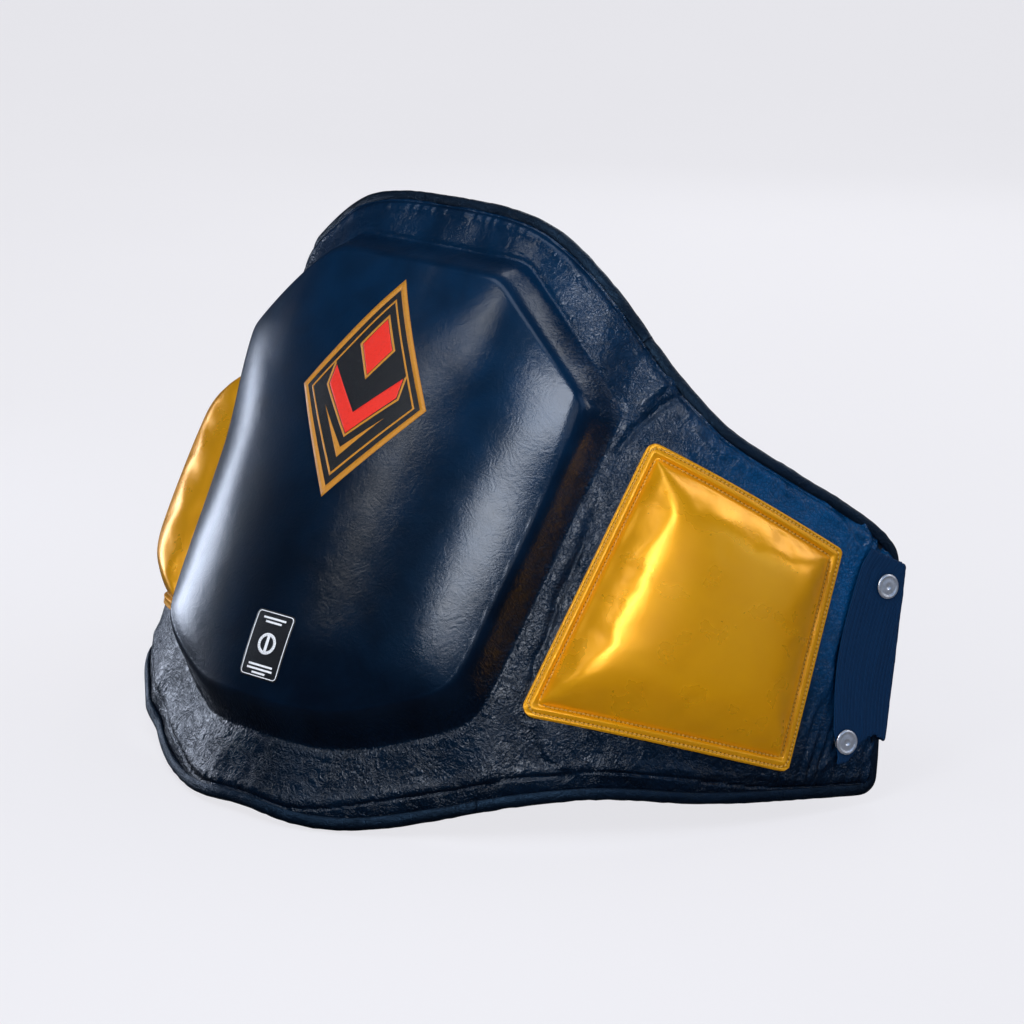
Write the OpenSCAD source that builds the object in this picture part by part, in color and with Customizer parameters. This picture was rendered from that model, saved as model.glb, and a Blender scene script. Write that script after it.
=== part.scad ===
// Trainer's belly pad: a curved, padded shield worn round the waist.
// It is drawn upright, with Z up the wearer's body and the front face towards -Y, and then
// leaned back on its lower edge and two wing ends. The wearer's side of its middle is at
// the origin. Right is +X, as seen from the front.
// All soft layers follow one cross-section. A place on it is given by
//   reach: distance round the section from the middle, positive to the right
//   z: height
//   out: distance outwards from the outer face, negative towards the wearer
// Name endings: _s reach, _z height, _out distance outwards, _t thickness, _w width,
// _l length, _h rise of a feature, _d diameter, _r radius.

/* [Stance] */
// Lean of the pad from upright when it stands on its own, in degrees
lean = 31; // [28:0.5:33]

/* [Cross-section] */
// Radius of the middle of the front face
front_radius = 248; // [235:1:262]
// Radius of the valley beside the raised strike block
valley_radius = 915; // [800:5:1000]
// Radius of the bend at the wearer's side
bend_radius = 180; // [172:1:190]
// Radius of the wing behind the bend
wing_radius = 339; // [320:1:360]
// Thickness of the padded body at the middle
body_t = 16; // [14:0.5:18]
// Thickness of the wing where the end tab sits
wing_end_t = 5; // [4:0.5:6]

/* [Outline] */
// Height of the crown above the middle of the pad
crown_z = 194; // [188:0.5:198]
// Depth of the lower edge below the middle of the pad
belly_z = 193; // [187:0.5:196]
// Distance round the section from the middle to the wing end at mid height
wing_reach = 366.5; // [365:0.5:370]
// Slant of the wing end: how far it moves in for each mm of height
wing_slant = 0.29; // [0.25:0.01:0.32]
// Distance round the section from the middle to the flex line
flex_s = 152; // [151.5:0.5:153]
// How far the shoulders of the body stand out from its even curve
shoulder = 9; // [6:0.5:10]
// How far the lower corners of the body curl in from its even curve
curl = 6; // [3:0.5:7]
// Width of the bound edge outside the padded layers
binding_w = 3; // [2:0.5:4]

/* [Strike block] */
// Height of the raised block above the front face
block_h = 22; // [18:0.5:24]
// Run of the block's sloping wall, from foot to ridge
block_run = 18; // [16:0.5:18.5]
// Half width of the block's top edge
block_top_w = 61; // [55:1:66]
// Half width of the block at its widest
block_max_w = 131; // [126:0.5:131.5]
// Half width of the block at its lower corners
block_low_w = 114; // [108:0.5:118]
// Half width of the block's bottom edge
block_bot_w = 50; // [42:1:58]

/* [Side pads] */
// Crown height of a side pad above the wing
side_crown = 17; // [12:0.5:18]
// Width of the flat stitched border of a side pad
side_border = 9; // [8:0.5:11]

/* [Press studs] */
// Diameter of a press stud cap
cap_d = 15; // [13:0.5:16]
// Diameter of the stud that snaps into the socket
stud_d = 7.84; // [7.8:0.01:7.9]
// Bore of the socket
socket_d = 8; // [7.98:0.01:8.02]

/* [Straps] */
// Width of the straps
strap_w = 76; // [70:1:80]
// Thickness of the straps
strap_t = 2.5; // [2:0.1:3]
// Length of the elastic part of a strap
elastic_l = 150; // [140:1:155]
// Length of the end panel that carries the tape
panel_l = 92; // [85:1:96]
// Thickness of the hook and loop tapes
tape_t = 1.5; // [1:0.1:2]
// Angle the right strap is folded in from straight
fold_right = 103; // [101:1:105]
// Angle the left strap is folded in from straight
fold_left = 115; // [113:1:117]

/* [Hidden] */
$fn = 48;

navy = [0.06, 0.11, 0.19];
ink = [0.03, 0.04, 0.06];
gold = [0.86, 0.62, 0.08];
red = [0.85, 0.16, 0.05];
steel = [0.70, 0.71, 0.74];
pale_foam = [0.80, 0.80, 0.76];
grey_foam = [0.62, 0.64, 0.66];
webbing = [0.05, 0.06, 0.08];

// ---- helpers ---------------------------------------------------------------
// straight blend; works on numbers, points and lists of points
function mix(from, to, part) = from + (to - from) * part;
function clamp01(value) = max(0, min(1, value));
function ease(value) = let (part = clamp01(value)) part * part * (3 - 2 * part);
function unit(vector) = vector / norm(vector);

// smooth curve through a list of [position, value] knots
function slope(knots, i, j) = (knots[j][1] - knots[i][1]) / (knots[j][0] - knots[i][0]);
function tangent(knots, i) =
    i <= 0 ? 0 :
    i >= len(knots) - 1 ? slope(knots, i - 1, i) :
    slope(knots, i - 1, i + 1);
function knot_before(knots, at, i = 0) =
    i >= len(knots) - 2 || at <= knots[i + 1][0] ? i : knot_before(knots, at, i + 1);
function curve(knots, at) =
    let (i = knot_before(knots, at), span = knots[i + 1][0] - knots[i][0],
        t = (at - knots[i][0]) / span, t2 = t * t, t3 = t2 * t)
    (2 * t3 - 3 * t2 + 1) * knots[i][1] + (t3 - 2 * t2 + t) * span * tangent(knots, i)
    + (3 * t2 - 2 * t3) * knots[i + 1][1] + (t3 - t2) * span * tangent(knots, i + 1);

// ---- solids from grids of points -------------------------------------------
function flatten(grid) = [for (row = grid) each row];
function quad(a, b, c, d) = [[a, b, c], [a, c, d]];
// side wall from outer points a and b to the inner points, numbered shift higher
function wall(a, b, shift) = quad(a, b, b + shift, a + shift);

// open sheet between two grids, rows along reach and columns along z
module sheet(outer, inner) {
    rows = len(outer);
    cols = len(outer[0]);
    shift = rows * cols;
    last_row = shift - cols;
    last_col = cols - 1;
    polyhedron(points = concat(flatten(outer), flatten(inner)), faces = concat(
        [for (i = [0 : rows - 2]) for (j = [0 : cols - 2])
            let (a = i * cols + j, d = a + cols) each quad(a, a + 1, d + 1, d)],
        [for (i = [0 : rows - 2]) for (j = [0 : cols - 2])
            let (a = shift + i * cols + j, d = a + cols) each quad(a, d, d + 1, a + 1)],
        [for (i = [0 : rows - 2]) each wall(i * cols, (i + 1) * cols, shift)],
        [for (i = [0 : rows - 2])
            each wall((i + 1) * cols + last_col, i * cols + last_col, shift)],
        [for (j = [0 : cols - 2]) each wall(j + 1, j, shift)],
        [for (j = [0 : cols - 2]) each wall(last_row + j, last_row + j + 1, shift)]));
}

// round sheet between two sets of rings, each closed by a middle point
module disc_sheet(outer_mid, outer, inner_mid, inner) {
    rows = len(outer);
    cols = len(outer[0]);
    shift = rows * cols;
    last_row = shift - cols;
    mid = 2 * shift;
    polyhedron(points = concat(flatten(outer), flatten(inner), [outer_mid, inner_mid]),
        faces = concat(
        [for (j = [0 : cols - 1]) [mid, (j + 1) % cols, j]],
        [for (j = [0 : cols - 1]) [mid + 1, shift + j, shift + (j + 1) % cols]],
        [for (i = [0 : rows - 2]) for (j = [0 : cols - 1])
            let (a = i * cols + j, b = i * cols + (j + 1) % cols)
            each quad(a, b, b + cols, a + cols)],
        [for (i = [0 : rows - 2]) for (j = [0 : cols - 1])
            let (a = shift + i * cols + j, b = shift + i * cols + (j + 1) % cols)
            each quad(a, a + cols, b + cols, b)],
        [for (j = [0 : cols - 1]) each wall(last_row + j, last_row + (j + 1) % cols, shift)]));
}

// ---- cross-section ---------------------------------------------------------
// arcs from the middle outwards: [length, radius]
arcs = [[140, front_radius], [45, valley_radius], [50, bend_radius], [400, wing_radius]];
// follows the arcs from at = [x, y, heading] for the distance left, starting on arc i
function walk(at, left, i) =
    left <= 0 || i >= len(arcs) ? at :
    let (step = min(left, arcs[i][0]), radius = arcs[i][1],
        heading = at[2] + step / radius * 180 / PI)
    walk([at[0] + radius * (sin(heading) - sin(at[2])),
        at[1] - radius * (cos(heading) - cos(at[2])), heading], left - step, i + 1);
function section(reach) = walk([0, 0, 0], reach, 0);
// point in space for a place = [reach, z]
function skin(place, out) =
    let (at = section(abs(place[0])), side = place[0] < 0 ? -1 : 1)
    [side * (at[0] + out * sin(at[2])), at[1] - out * cos(at[2]), place[1]];
// local frame at a place: X round the pad at heading_s, Y up, Z outwards
module on_skin(place, out, heading_s)
    translate(skin(place, out)) rotate([0, 0, section(heading_s)[2]]) rotate([90, 0, 0])
        children();

// ---- outline ---------------------------------------------------------------
// [reach, drop of the top edge below the crown]
top_drops = [[0, 0], [45, 1.5], [85, 11], [130, 37], [175, 68],
    [215, 88], [260, 97], [318, 106], [340, 114], [356, 126]];
// [reach, rise of the lower edge above its middle]
low_rises = [[0, 0], [45, -0.5], [85, 9], [130, 30], [175, 54],
    [215, 72], [277, 92], [341, 118], [388, 137]];
top_knots = [for (k = top_drops) [k[0], crown_z - k[1]]];
low_knots = [for (k = low_rises) [k[0], k[1] - belly_z]];
function top_z(reach) = curve(top_knots, abs(reach));
function low_z(reach) = curve(low_knots, abs(reach));
function end_s(z) = wing_reach - wing_slant * z;

// ---- layer thickness -------------------------------------------------------
flex_gap = 0.4; // from the flex line to the body and to the wing
edge_r = body_t / 2; // rounding of the section beside the flex line
pinch_min = 0.2;
rim_run = 26; // width over which the wearer's side thins to the bound edge
rim_part = 0.55; // share of the thickness left at the bound edge
taper_start_s = flex_s + 20;
taper_end_s = 336;
// share of the full thickness left by the rounding
function pinch(reach) =
    let (inside = abs(abs(reach) - flex_s) - flex_gap)
    inside >= edge_r ? 1 :
    max(pinch_min, sqrt(max(0, 1 - pow(1 - max(inside, 0) / edge_r, 2))));
function rim(place) =
    ease(min(top_z(place[0]) - place[1], place[1] - low_z(place[0])) / rim_run);
function full_t(reach) = reach < flex_s ? body_t :
    mix(body_t, wing_end_t, ease((reach - taper_start_s) / (taper_end_s - taper_start_s)));
function face_out(reach) = -edge_r * (1 - pinch(reach));
function back_out(place) =
    let (thick = full_t(abs(place[0])))
    mix(-edge_r, mix(-rim_part * thick, -thick, rim(place)), pinch(place[0]));
// place outwards of a share of the local thickness: 0 outer face, 1 wearer's side
function depth(place, part) = mix(face_out(place[0]), back_out(place), part);
// shares of the thickness at the layers' boundaries
cover_part = 0.11;
foam_parts = [0.13, 0.87];
lining_part = 0.89;

// ---- body: rings that follow the strike block ------------------------------
block_top_z = 144;
block_max_z = 87;
block_low_z = -96;
block_bot_z = -132;
// corners of the block's ridge, counterclockwise from the lower right: [reach, z]
ridge = [[block_low_w, block_low_z], [block_max_w, block_max_z],
    [block_top_w, block_top_z], [-block_top_w, block_top_z],
    [-block_max_w, block_max_z], [-block_low_w, block_low_z],
    [-block_bot_w, block_bot_z], [block_bot_w, block_bot_z]];
steps = 6; // points on each side of the ridge
rays = 8 * steps;
// corner i of the ridge moved outwards by a distance
function corner(i, distance) =
    let (here = ridge[i], arrive = unit(here - ridge[(i + 7) % 8]),
        leave = unit(ridge[(i + 1) % 8] - here),
        outwards = unit([arrive[1] + leave[1], -arrive[0] - leave[0]]))
    here + outwards * distance / (outwards * [arrive[1], -arrive[0]]);
// the ridge's outline moved outwards by a distance
function ring(distance) = [for (i = [0 : 7]) for (k = [0 : steps - 1])
    mix(corner(i, distance), corner((i + 1) % 8, distance), k / steps)];
core_s = flex_s - flex_gap;
// bound outline of the body, matched ray by ray to the ridge: right, top, left, bottom
body_edge = [for (j = [0 : rays - 1])
    j < steps ? [core_s, mix(low_z(core_s), top_z(core_s), j / steps)] :
    j < 4 * steps ?
        let (s = core_s * (1 - 2 * (j - steps) / (3 * steps))) [s, top_z(s)] :
    j < 5 * steps ?
        [-core_s, mix(top_z(core_s), low_z(core_s), (j - 4 * steps) / steps)] :
    let (s = core_s * (2 * (j - 5 * steps) / (3 * steps) - 1)) [s, low_z(s)]];
// how far the body's shoulders stand out (positive) and its lower corners curl in
function flare(place) =
    let (reach = abs(place[0]), z = place[1])
    (shoulder * ease((z - 10) / 90) - curl * ease((-z - 90) / 60))
    * ease((reach - 15) / 65) * (1 - ease((reach - 124) / 27));

crest = ring(0);
foot = ring(block_run);
slope_mid = mix(crest, foot, 0.5);
// [ring, share of the layer's lift, share of the flare], from the middle outwards
body_rings = [
    [crest * 0.4, 1, 0],
    [crest * 0.75, 1, 0],
    [crest, 1, 1],
    [slope_mid, 0.5, 1],
    [foot, 0, 1],
    [mix(foot, body_edge, 0.5), 0, 1],
    [mix(foot, body_edge, 0.85), 0, 1],
    [body_edge, 0, 1]];
function body_face(part, lift) = [for (r = body_rings) [for (p = r[0])
    skin(p, depth(p, part) + lift * r[1] + r[2] * flare(p))]];
function body_mid(part, lift) = skin([0, 0], depth([0, 0], part) + lift);
// layer between two shares of the thickness, lifted over the block
module body_layer(outer_part, inner_part, lift)
    disc_sheet(body_mid(outer_part, lift), body_face(outer_part, lift),
        body_mid(inner_part, lift), body_face(inner_part, lift));

module front_cover() {
    color(navy) body_layer(0, cover_part, block_h);
}
module core_foam() {
    color(pale_foam) body_layer(foam_parts[0], foam_parts[1], 0);
}
module back_lining() {
    color(ink) body_layer(lining_part, 1, 0);
}

// ---- foam inside the strike block ------------------------------------------
// flare on ray j at a distance outside the ridge, on the same straight runs as the body
function flare_at(distance, j) =
    let (part = distance * 2 / block_run)
    distance <= 0 ? flare(crest[j]) :
    part < 1 ? mix(flare(crest[j]), flare(slope_mid[j]), part) :
    mix(flare(slope_mid[j]), flare(foot[j]), part - 1);
// face of a block layer that ends at a distance outside the ridge
function block_face(out, distance) =
    let (last = ring(distance), before = distance > 1 ? crest : ring(distance - 0.6)) [
        [for (p = crest * 0.4) skin(p, out)],
        [for (p = crest * 0.75) skin(p, out)],
        [for (j = [0 : rays - 1]) skin(before[j], out + flare(crest[j]))],
        [for (j = [0 : rays - 1]) skin(last[j], out + flare_at(distance, j))]];
// foam between two levels, each outline set in from the foot by its inset
module block_layer(low_out, high_out, low_inset, high_inset)
    disc_sheet(skin([0, 0], high_out), block_face(high_out, block_run - high_inset),
        skin([0, 0], low_out), block_face(low_out, block_run - low_inset));
cover_t = cover_part * body_t;
// inset of the foam below the cover's sloping wall
function inset(out) = block_run * (out + cover_t + 0.5) / block_h;
split_out = block_h * 0.42; // top of the inner foam
split_top_out = split_out + 0.4; // bottom of the outer foam

module strike_foam_inner() {
    color(pale_foam) block_layer(1.4 - cover_t, split_out, 4, inset(split_out));
}
module strike_foam_outer() {
    color(grey_foam) block_layer(split_top_out, block_h - cover_t - 0.6,
        inset(split_top_out) + 0.3, block_run + 0.6);
}

// ---- edge binding ----------------------------------------------------------
binding_gap = 0.4;
// how far the binding stands proud of the layers; flush with them at the flex line
function proud(reach) = 0.8 * ease((abs(abs(reach) - flex_s) - 3) / 9);
// strip through a list of reaches, along the top (side = 1) or lower (side = -1) edge
module edge_strip(reaches, side) {
    edge = [for (s = reaches) [s, side > 0 ? top_z(s) : low_z(s)]];
    beyond = side > 0 ? [binding_gap, binding_w] : [binding_w, binding_gap];
    function row(place, out) =
        let (bend = abs(place[0]) < flex_s ? flare(place) : 0)
        [for (b = beyond) skin([place[0], place[1] + side * b], out + bend)];
    sheet([for (p = edge) row(p, face_out(p[0]) + proud(p[0]))],
        [for (p = edge) row(p, back_out(p) - proud(p[0]))]);
}
body_reaches = [for (i = [0 : 36]) mix(-core_s, core_s, i / 36)];

module top_binding() {
    color(navy) edge_strip(body_reaches, 1);
}
module bottom_binding() {
    color(navy) edge_strip(body_reaches, -1);
}

// ---- printed badge and label -----------------------------------------------
print_out = block_h + 0.2;
print_t = 0.4;
label_t = 0.5;
// thin print between two runs of [reach, z] places
module print_strip(first, second, thick = print_t) {
    function face(out) =
        [for (i = [0 : len(first) - 1]) [skin(first[i], out), skin(second[i], out)]];
    sheet(face(print_out + thick), face(print_out));
}
// places along straight lines through the corners, each line cut into count pieces
function run(corners, count) = [
    for (i = [0 : len(corners) - 2])
        for (k = [0 : count - (i < len(corners) - 2 ? 1 : 0)])
            mix(corners[i], corners[i + 1], k / count)];
// run that bends at the middle line
function bent(half_w, end_z, mid_z, count = 3) =
    run([[-half_w, end_z], [0, mid_z], [half_w, end_z]], count);
// right half of the tall four-cornered frame: [reach, z]
badge_outer = [[0, 134], [47, 58], [0, -8]];
badge_inner = [[0, 125.5], [41.5, 57.5], [0, 0.8]];
badge_gap = 0.15; // from the middle line to each half
function frame_run(corners, side) =
    run([for (p = corners) [side * (p[0] + badge_gap), p[1]]], 3);

module badge_gold() {
    color(gold) {
        print_strip(frame_run(badge_outer, 1), frame_run(badge_inner, 1));
        print_strip(frame_run(badge_inner, -1), frame_run(badge_outer, -1));
        print_strip(bent(24, 52, 26), bent(24, 45, 19));
    }
}
// a bar bent downwards, with a diamond above it
module badge_red() {
    color(red) {
        print_strip(bent(27, 76, 47), bent(27, 60, 31));
        print_strip(bent(12, 89, 108, 2), bent(12, 88.6, 70, 2));
    }
}
module label_patch() {
    reaches = [-14 : 7 : 14];
    color(ink) print_strip([for (s = reaches) [s, -123]], [for (s = reaches) [s, -82]], label_t);
}

// ---- press stud places -----------------------------------------------------
// [reach, z] on the right wing
snaps = [[341.6, 58], [351, -38]];
snap_s = (snaps[0][0] + snaps[1][0]) / 2; // both studs share the heading here
module at_snaps() for (p = snaps) on_skin(p, 0, snap_s) children();

// ---- wings, drawn on the right ---------------------------------------------
wing_start_s = flex_s + flex_gap;
wing_top_limit_s = 350; // furthest reach at which the top edge sets the slant
wing_foam_end = 0.75;
stud_hole_d = 5;
// stations as shares of the way along and up the wing
wing_along = [0, 0.012, 0.036, 0.14, 0.26, 0.38, 0.5, 0.62, 0.74, 0.86, 1];
wing_up = [0, 0.07, 0.2, 0.4, 0.6, 0.8, 0.93, 1];
// place at a share along and a share up the wing; the slant grows towards the end
function wing_at(along, up) =
    let (even_s = mix(wing_start_s, wing_reach, along),
        even_z = mix(low_z(even_s), top_z(min(even_s, wing_top_limit_s)), up),
        reach = even_s - along * along * wing_slant * even_z)
    [reach, mix(low_z(reach), top_z(reach), up)];
module wing_layer(outer_part, inner_part, end = 1) {
    stations = [for (u = wing_along) if (u <= end) u];
    function face(part) = [for (u = stations) [for (v = wing_up)
        let (p = wing_at(u, v)) skin(p, depth(p, part))]];
    sheet(face(outer_part), face(inner_part));
}

module wing_cover() {
    color(navy) difference() {
        wing_layer(0, cover_part);
        at_snaps() cylinder(d = stud_hole_d, h = 12, center = true);
    }
}
module wing_foam() {
    color(pale_foam) wing_layer(foam_parts[0], foam_parts[1], wing_foam_end);
}
module wing_lining() {
    color(ink) difference() {
        wing_layer(lining_part, 1);
        at_snaps() translate([0, 0, -6]) cylinder(d = stud_hole_d, h = 16, center = true);
    }
}
module wing_binding() {
    color(navy) {
        edge_strip([for (u = wing_along) wing_at(u, 1)[0]], 1);
        edge_strip([for (u = wing_along) wing_at(u, 0)[0]], -1);
    }
}

// ---- side pads -------------------------------------------------------------
// corners [reach, z]: lower and upper beside the flex line, then lower and upper outboard
side_corners = [[154, -93.5], [172, 86], [321, -68.5], [306, 67.5]];
// nominal size that the border and crown are measured on
side_w = 148;
side_tall = 165;
// run from the border to the full crown, along and up
side_run_along = 50;
side_run_up = 55;
side_cover_out = [2.4, 0.8]; // outer and inner face of the cover at its border
side_foam_out = 0.5;
// stations as shares of the way along and up
side_stations = [0, 0.062, 0.08, 0.12, 0.2, 0.32, 0.5, 0.68, 0.8, 0.88, 0.92, 0.938, 1];
side_foam_stations = [0.085, 0.12, 0.2, 0.32, 0.5, 0.68, 0.8, 0.88, 0.915];
function side_at(along, up) = mix(mix(side_corners[0], side_corners[1], up),
    mix(side_corners[2], side_corners[3], up), along);
function dome(value) = let (part = clamp01(value)) sqrt(part * (2 - part));
function side_rise(along, up) = side_crown
    * dome((min(along, 1 - along) * side_w - side_border) / side_run_along)
    * dome((min(up, 1 - up) * side_tall - side_border) / side_run_up);
// face at base_out plus the crown's rise, scaled, less a drop and never below least
function side_face(stations, base_out, scale = 1, drop = 0, least = 0) =
    [for (u = stations) [for (v = stations)
        skin(side_at(u, v), base_out + max(least, side_rise(u, v) * scale - drop))]];

module side_pad_cover() {
    color(gold) sheet(side_face(side_stations, side_cover_out[0]),
        side_face(side_stations, side_cover_out[1]));
}
module side_pad_foam() {
    color(pale_foam) sheet(
        side_face(side_foam_stations, side_foam_out, scale = 0.96, drop = 1.2, least = 0.4),
        side_face(side_foam_stations, side_foam_out, scale = 0));
}

// ---- press studs on the wing -----------------------------------------------
post_d = 4.6;
post_out = -2.6; // wearer's end of the stud's post
flange_out = 0.4;
flange_t = 0.5;
plate_out = -7.6; // wearer's face of the back plate
// a post into the wing, with a flange and a round stud on the outer face
module studs() {
    color(steel) at_snaps() {
        translate([0, 0, post_out]) cylinder(d = post_d, h = 3.1);
        translate([0, 0, flange_out]) cylinder(d = 12, h = flange_t);
        translate([0, 0, flange_out + flange_t]) cylinder(d = stud_d, h = 2);
    }
}
// a plate on the wearer's side with a hollow post towards the stud
module stud_backs() {
    color(steel) at_snaps() translate([0, 0, plate_out]) difference() {
        union() {
            cylinder(d = 13, h = 1);
            cylinder(d = post_d, h = 4.8);
        }
        translate([0, 0, -1]) cylinder(d = 2.4, h = 4);
    }
}

// ---- end tabs, snapped over the wing ends ----------------------------------
tab_top_z = 75;
tab_low_z = [-52, -42, -27, -27, -27]; // lower edge at each point of the profile
tab_up = [0, 0.18, 0.36, 0.54, 0.7, 0.86, 1];
// the tab's edge on the outer face: [z, reach]
tab_edge = [[-52, 350.5], [-32, 339.5], [8, 326], [61, 320.5], [75, 323]];
tab_gap = 1.1;
tab_t = 2;
tab_out = tab_gap + tab_t;
// strap's root, past the wing end and outwards of the outer face
hinge_s = 6;
hinge_out = -6;
tab_end_out = hinge_out + 1.8;
// [distance past the wing end, out], over the face and then round the end
function tab_profile(z, out, turn_s) =
    let (lap = end_s(z) - curve(tab_edge, z))
    [[-lap, out], [-lap * 0.5, out], [0, out], [turn_s, out], [turn_s, tab_end_out]];
function tab_face(out, turn_s) = [for (k = [0 : 4]) [for (v = tab_up)
    let (z = mix(tab_low_z[k], tab_top_z, v), p = tab_profile(z, out, turn_s)[k])
    skin([end_s(z) + p[0], z], p[1])]];

module end_tab() {
    color(webbing) difference() {
        sheet(tab_face(tab_out, hinge_s + tab_t / 2), tab_face(tab_gap, hinge_s - tab_t / 2));
        at_snaps() cylinder(d = 12, h = 16, center = true);
    }
}
module snap_sockets() {
    color(steel) at_snaps() translate([0, 0, tab_gap]) difference() {
        cylinder(d = 11.4, h = tab_t);
        translate([0, 0, -1]) cylinder(d = socket_d, h = tab_t + 2);
    }
}
cap_r = cap_d / 2;
// half section of a cap, dished in the middle: [radius, height]
cap_profile = [[0, 0], [cap_r - 0.4, 0], [cap_r, 0.5], [cap_r - 0.2, 1.1],
    [cap_r - 1, 1.5], [cap_r - 1.9, 1.1], [2.4, 1.3], [0, 1.3]];
module snap_caps() {
    color(steel) at_snaps() translate([0, 0, tab_out + 0.5]) rotate_extrude()
        polygon(cap_profile);
}

// ---- straps ----------------------------------------------------------------
strap_z = 24; // height of the strap's root
strap_skew = 14; // angle the strap climbs by
panel_gap = 0.3;
tape_gap = 0.1;
tape_margins = [8, 6]; // before and after the tape on its panel
tape_w = strap_w - 12;
// frame at the root: Y along the slanted wing end, X along the strap, Z its outer face
module strap_frame(fold) {
    root_s = end_s(strap_z) + hinge_s;
    on_skin([root_s, strap_z], hinge_out, root_s)
        rotate([0, 0, atan(wing_slant)]) rotate([0, fold, 0]) children();
}
// skewed slab between two distances along the strap, from z upwards
module strap_slab(start, end, width, z = -strap_t / 2, thick = strap_t) {
    climb = tan(strap_skew);
    translate([0, 0, z]) linear_extrude(height = thick) polygon([
        [start, -width / 2 + start * climb], [end, -width / 2 + end * climb],
        [end, width / 2 + end * climb], [start, width / 2 + start * climb]]);
}

module elastic_strap(fold) {
    color(webbing) strap_frame(fold) {
        rotate([90, 0, 0]) cylinder(d = strap_t, h = strap_w, center = true);
        strap_slab(0, elastic_l, strap_w);
    }
}
module end_panel(fold) {
    color(ink) strap_frame(fold)
        strap_slab(elastic_l + panel_gap, elastic_l + panel_l, strap_w);
}
// with the strap folded in, side 1 faces away from the wearer and -1 faces the wearer
module tape(fold, side) {
    near_z = strap_t / 2 + tape_gap;
    color(webbing) strap_frame(fold)
        strap_slab(elastic_l + tape_margins[0], elastic_l + panel_l - tape_margins[1], tape_w,
            z = side > 0 ? near_z : -near_z - tape_t, thick = tape_t);
}

// ---- placing ---------------------------------------------------------------
module stand() rotate([-lean, 0, 0]) translate([0, -body_t, 0]) children();
module stand_left() stand() mirror([1, 0, 0]) children();

stand() front_cover();
stand() strike_foam_outer();
stand() strike_foam_inner();
stand() core_foam();
stand() back_lining();
stand() top_binding();
stand() bottom_binding();
stand() badge_gold();
stand() badge_red();
stand() label_patch();
stand() wing_cover();  // wing_cover_right
stand() wing_foam();  // wing_foam_right
stand() wing_lining();  // wing_lining_right
stand() side_pad_cover();  // side_pad_cover_right
stand() side_pad_foam();  // side_pad_foam_right
stand() wing_binding();  // wing_binding_right
stand() studs();  // studs_right
stand() stud_backs();  // stud_backs_right
stand_left() wing_cover();  // wing_cover_left
stand_left() wing_foam();  // wing_foam_left
stand_left() wing_lining();  // wing_lining_left
stand_left() side_pad_cover();  // side_pad_cover_left
stand_left() side_pad_foam();  // side_pad_foam_left
stand_left() wing_binding();  // wing_binding_left
stand_left() studs();  // studs_left
stand_left() stud_backs();  // stud_backs_left
stand() end_tab();  // end_tab_right
stand() snap_caps();  // snap_caps_right
stand() snap_sockets();  // snap_sockets_right
stand_left() end_tab();  // end_tab_left
stand_left() snap_caps();  // snap_caps_left
stand_left() snap_sockets();  // snap_sockets_left
stand() elastic_strap(fold_right);  // elastic_strap_right
stand() end_panel(fold_right);  // hook_panel_right
stand() tape(fold_right, -1);  // hook_tape_right
stand_left() elastic_strap(fold_left);  // elastic_strap_left
stand_left() end_panel(fold_left);  // loop_panel_left
stand_left() tape(fold_left, 1);  // loop_tape_left
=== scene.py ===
"""Leather strike pad: a thick core with a raised strike block, a wing on each side with a gold
side pad, an elastic end tab with two snaps at each wing end, and a strap folded behind each tab.

Lengths are in mm unless a comment says otherwise. Points on the pad are given as
  arc  signed distance from the middle along the curved section, + on the right (+x)
  z    height along the upright pad
  out  distance in front of the section curve (towards -y)
and are then leaned back about x into the row frame, top away from the front.
"""
import math

import bpy
import numpy as np
from mathutils import Matrix, Vector


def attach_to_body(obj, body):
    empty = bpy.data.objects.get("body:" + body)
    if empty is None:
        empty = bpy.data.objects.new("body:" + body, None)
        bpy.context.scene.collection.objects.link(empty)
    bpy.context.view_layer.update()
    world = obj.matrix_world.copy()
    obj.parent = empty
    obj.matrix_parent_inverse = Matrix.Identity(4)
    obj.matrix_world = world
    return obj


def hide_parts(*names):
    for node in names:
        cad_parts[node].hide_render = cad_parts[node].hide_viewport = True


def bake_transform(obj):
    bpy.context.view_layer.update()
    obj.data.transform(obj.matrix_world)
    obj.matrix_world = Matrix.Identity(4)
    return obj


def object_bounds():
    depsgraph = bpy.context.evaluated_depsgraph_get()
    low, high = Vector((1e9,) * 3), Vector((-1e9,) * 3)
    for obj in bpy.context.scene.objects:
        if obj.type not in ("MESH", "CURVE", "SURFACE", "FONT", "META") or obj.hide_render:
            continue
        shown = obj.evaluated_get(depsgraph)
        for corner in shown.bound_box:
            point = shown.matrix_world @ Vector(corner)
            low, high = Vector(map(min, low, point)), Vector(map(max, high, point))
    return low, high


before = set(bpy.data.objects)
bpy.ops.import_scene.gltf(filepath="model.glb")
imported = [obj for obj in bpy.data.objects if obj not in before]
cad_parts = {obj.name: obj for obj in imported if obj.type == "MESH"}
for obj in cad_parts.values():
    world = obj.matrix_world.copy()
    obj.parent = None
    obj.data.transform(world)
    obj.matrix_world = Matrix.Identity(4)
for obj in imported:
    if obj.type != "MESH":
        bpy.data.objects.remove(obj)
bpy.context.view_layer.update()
SIDES = ((1, "right"), (-1, "left"))

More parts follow.
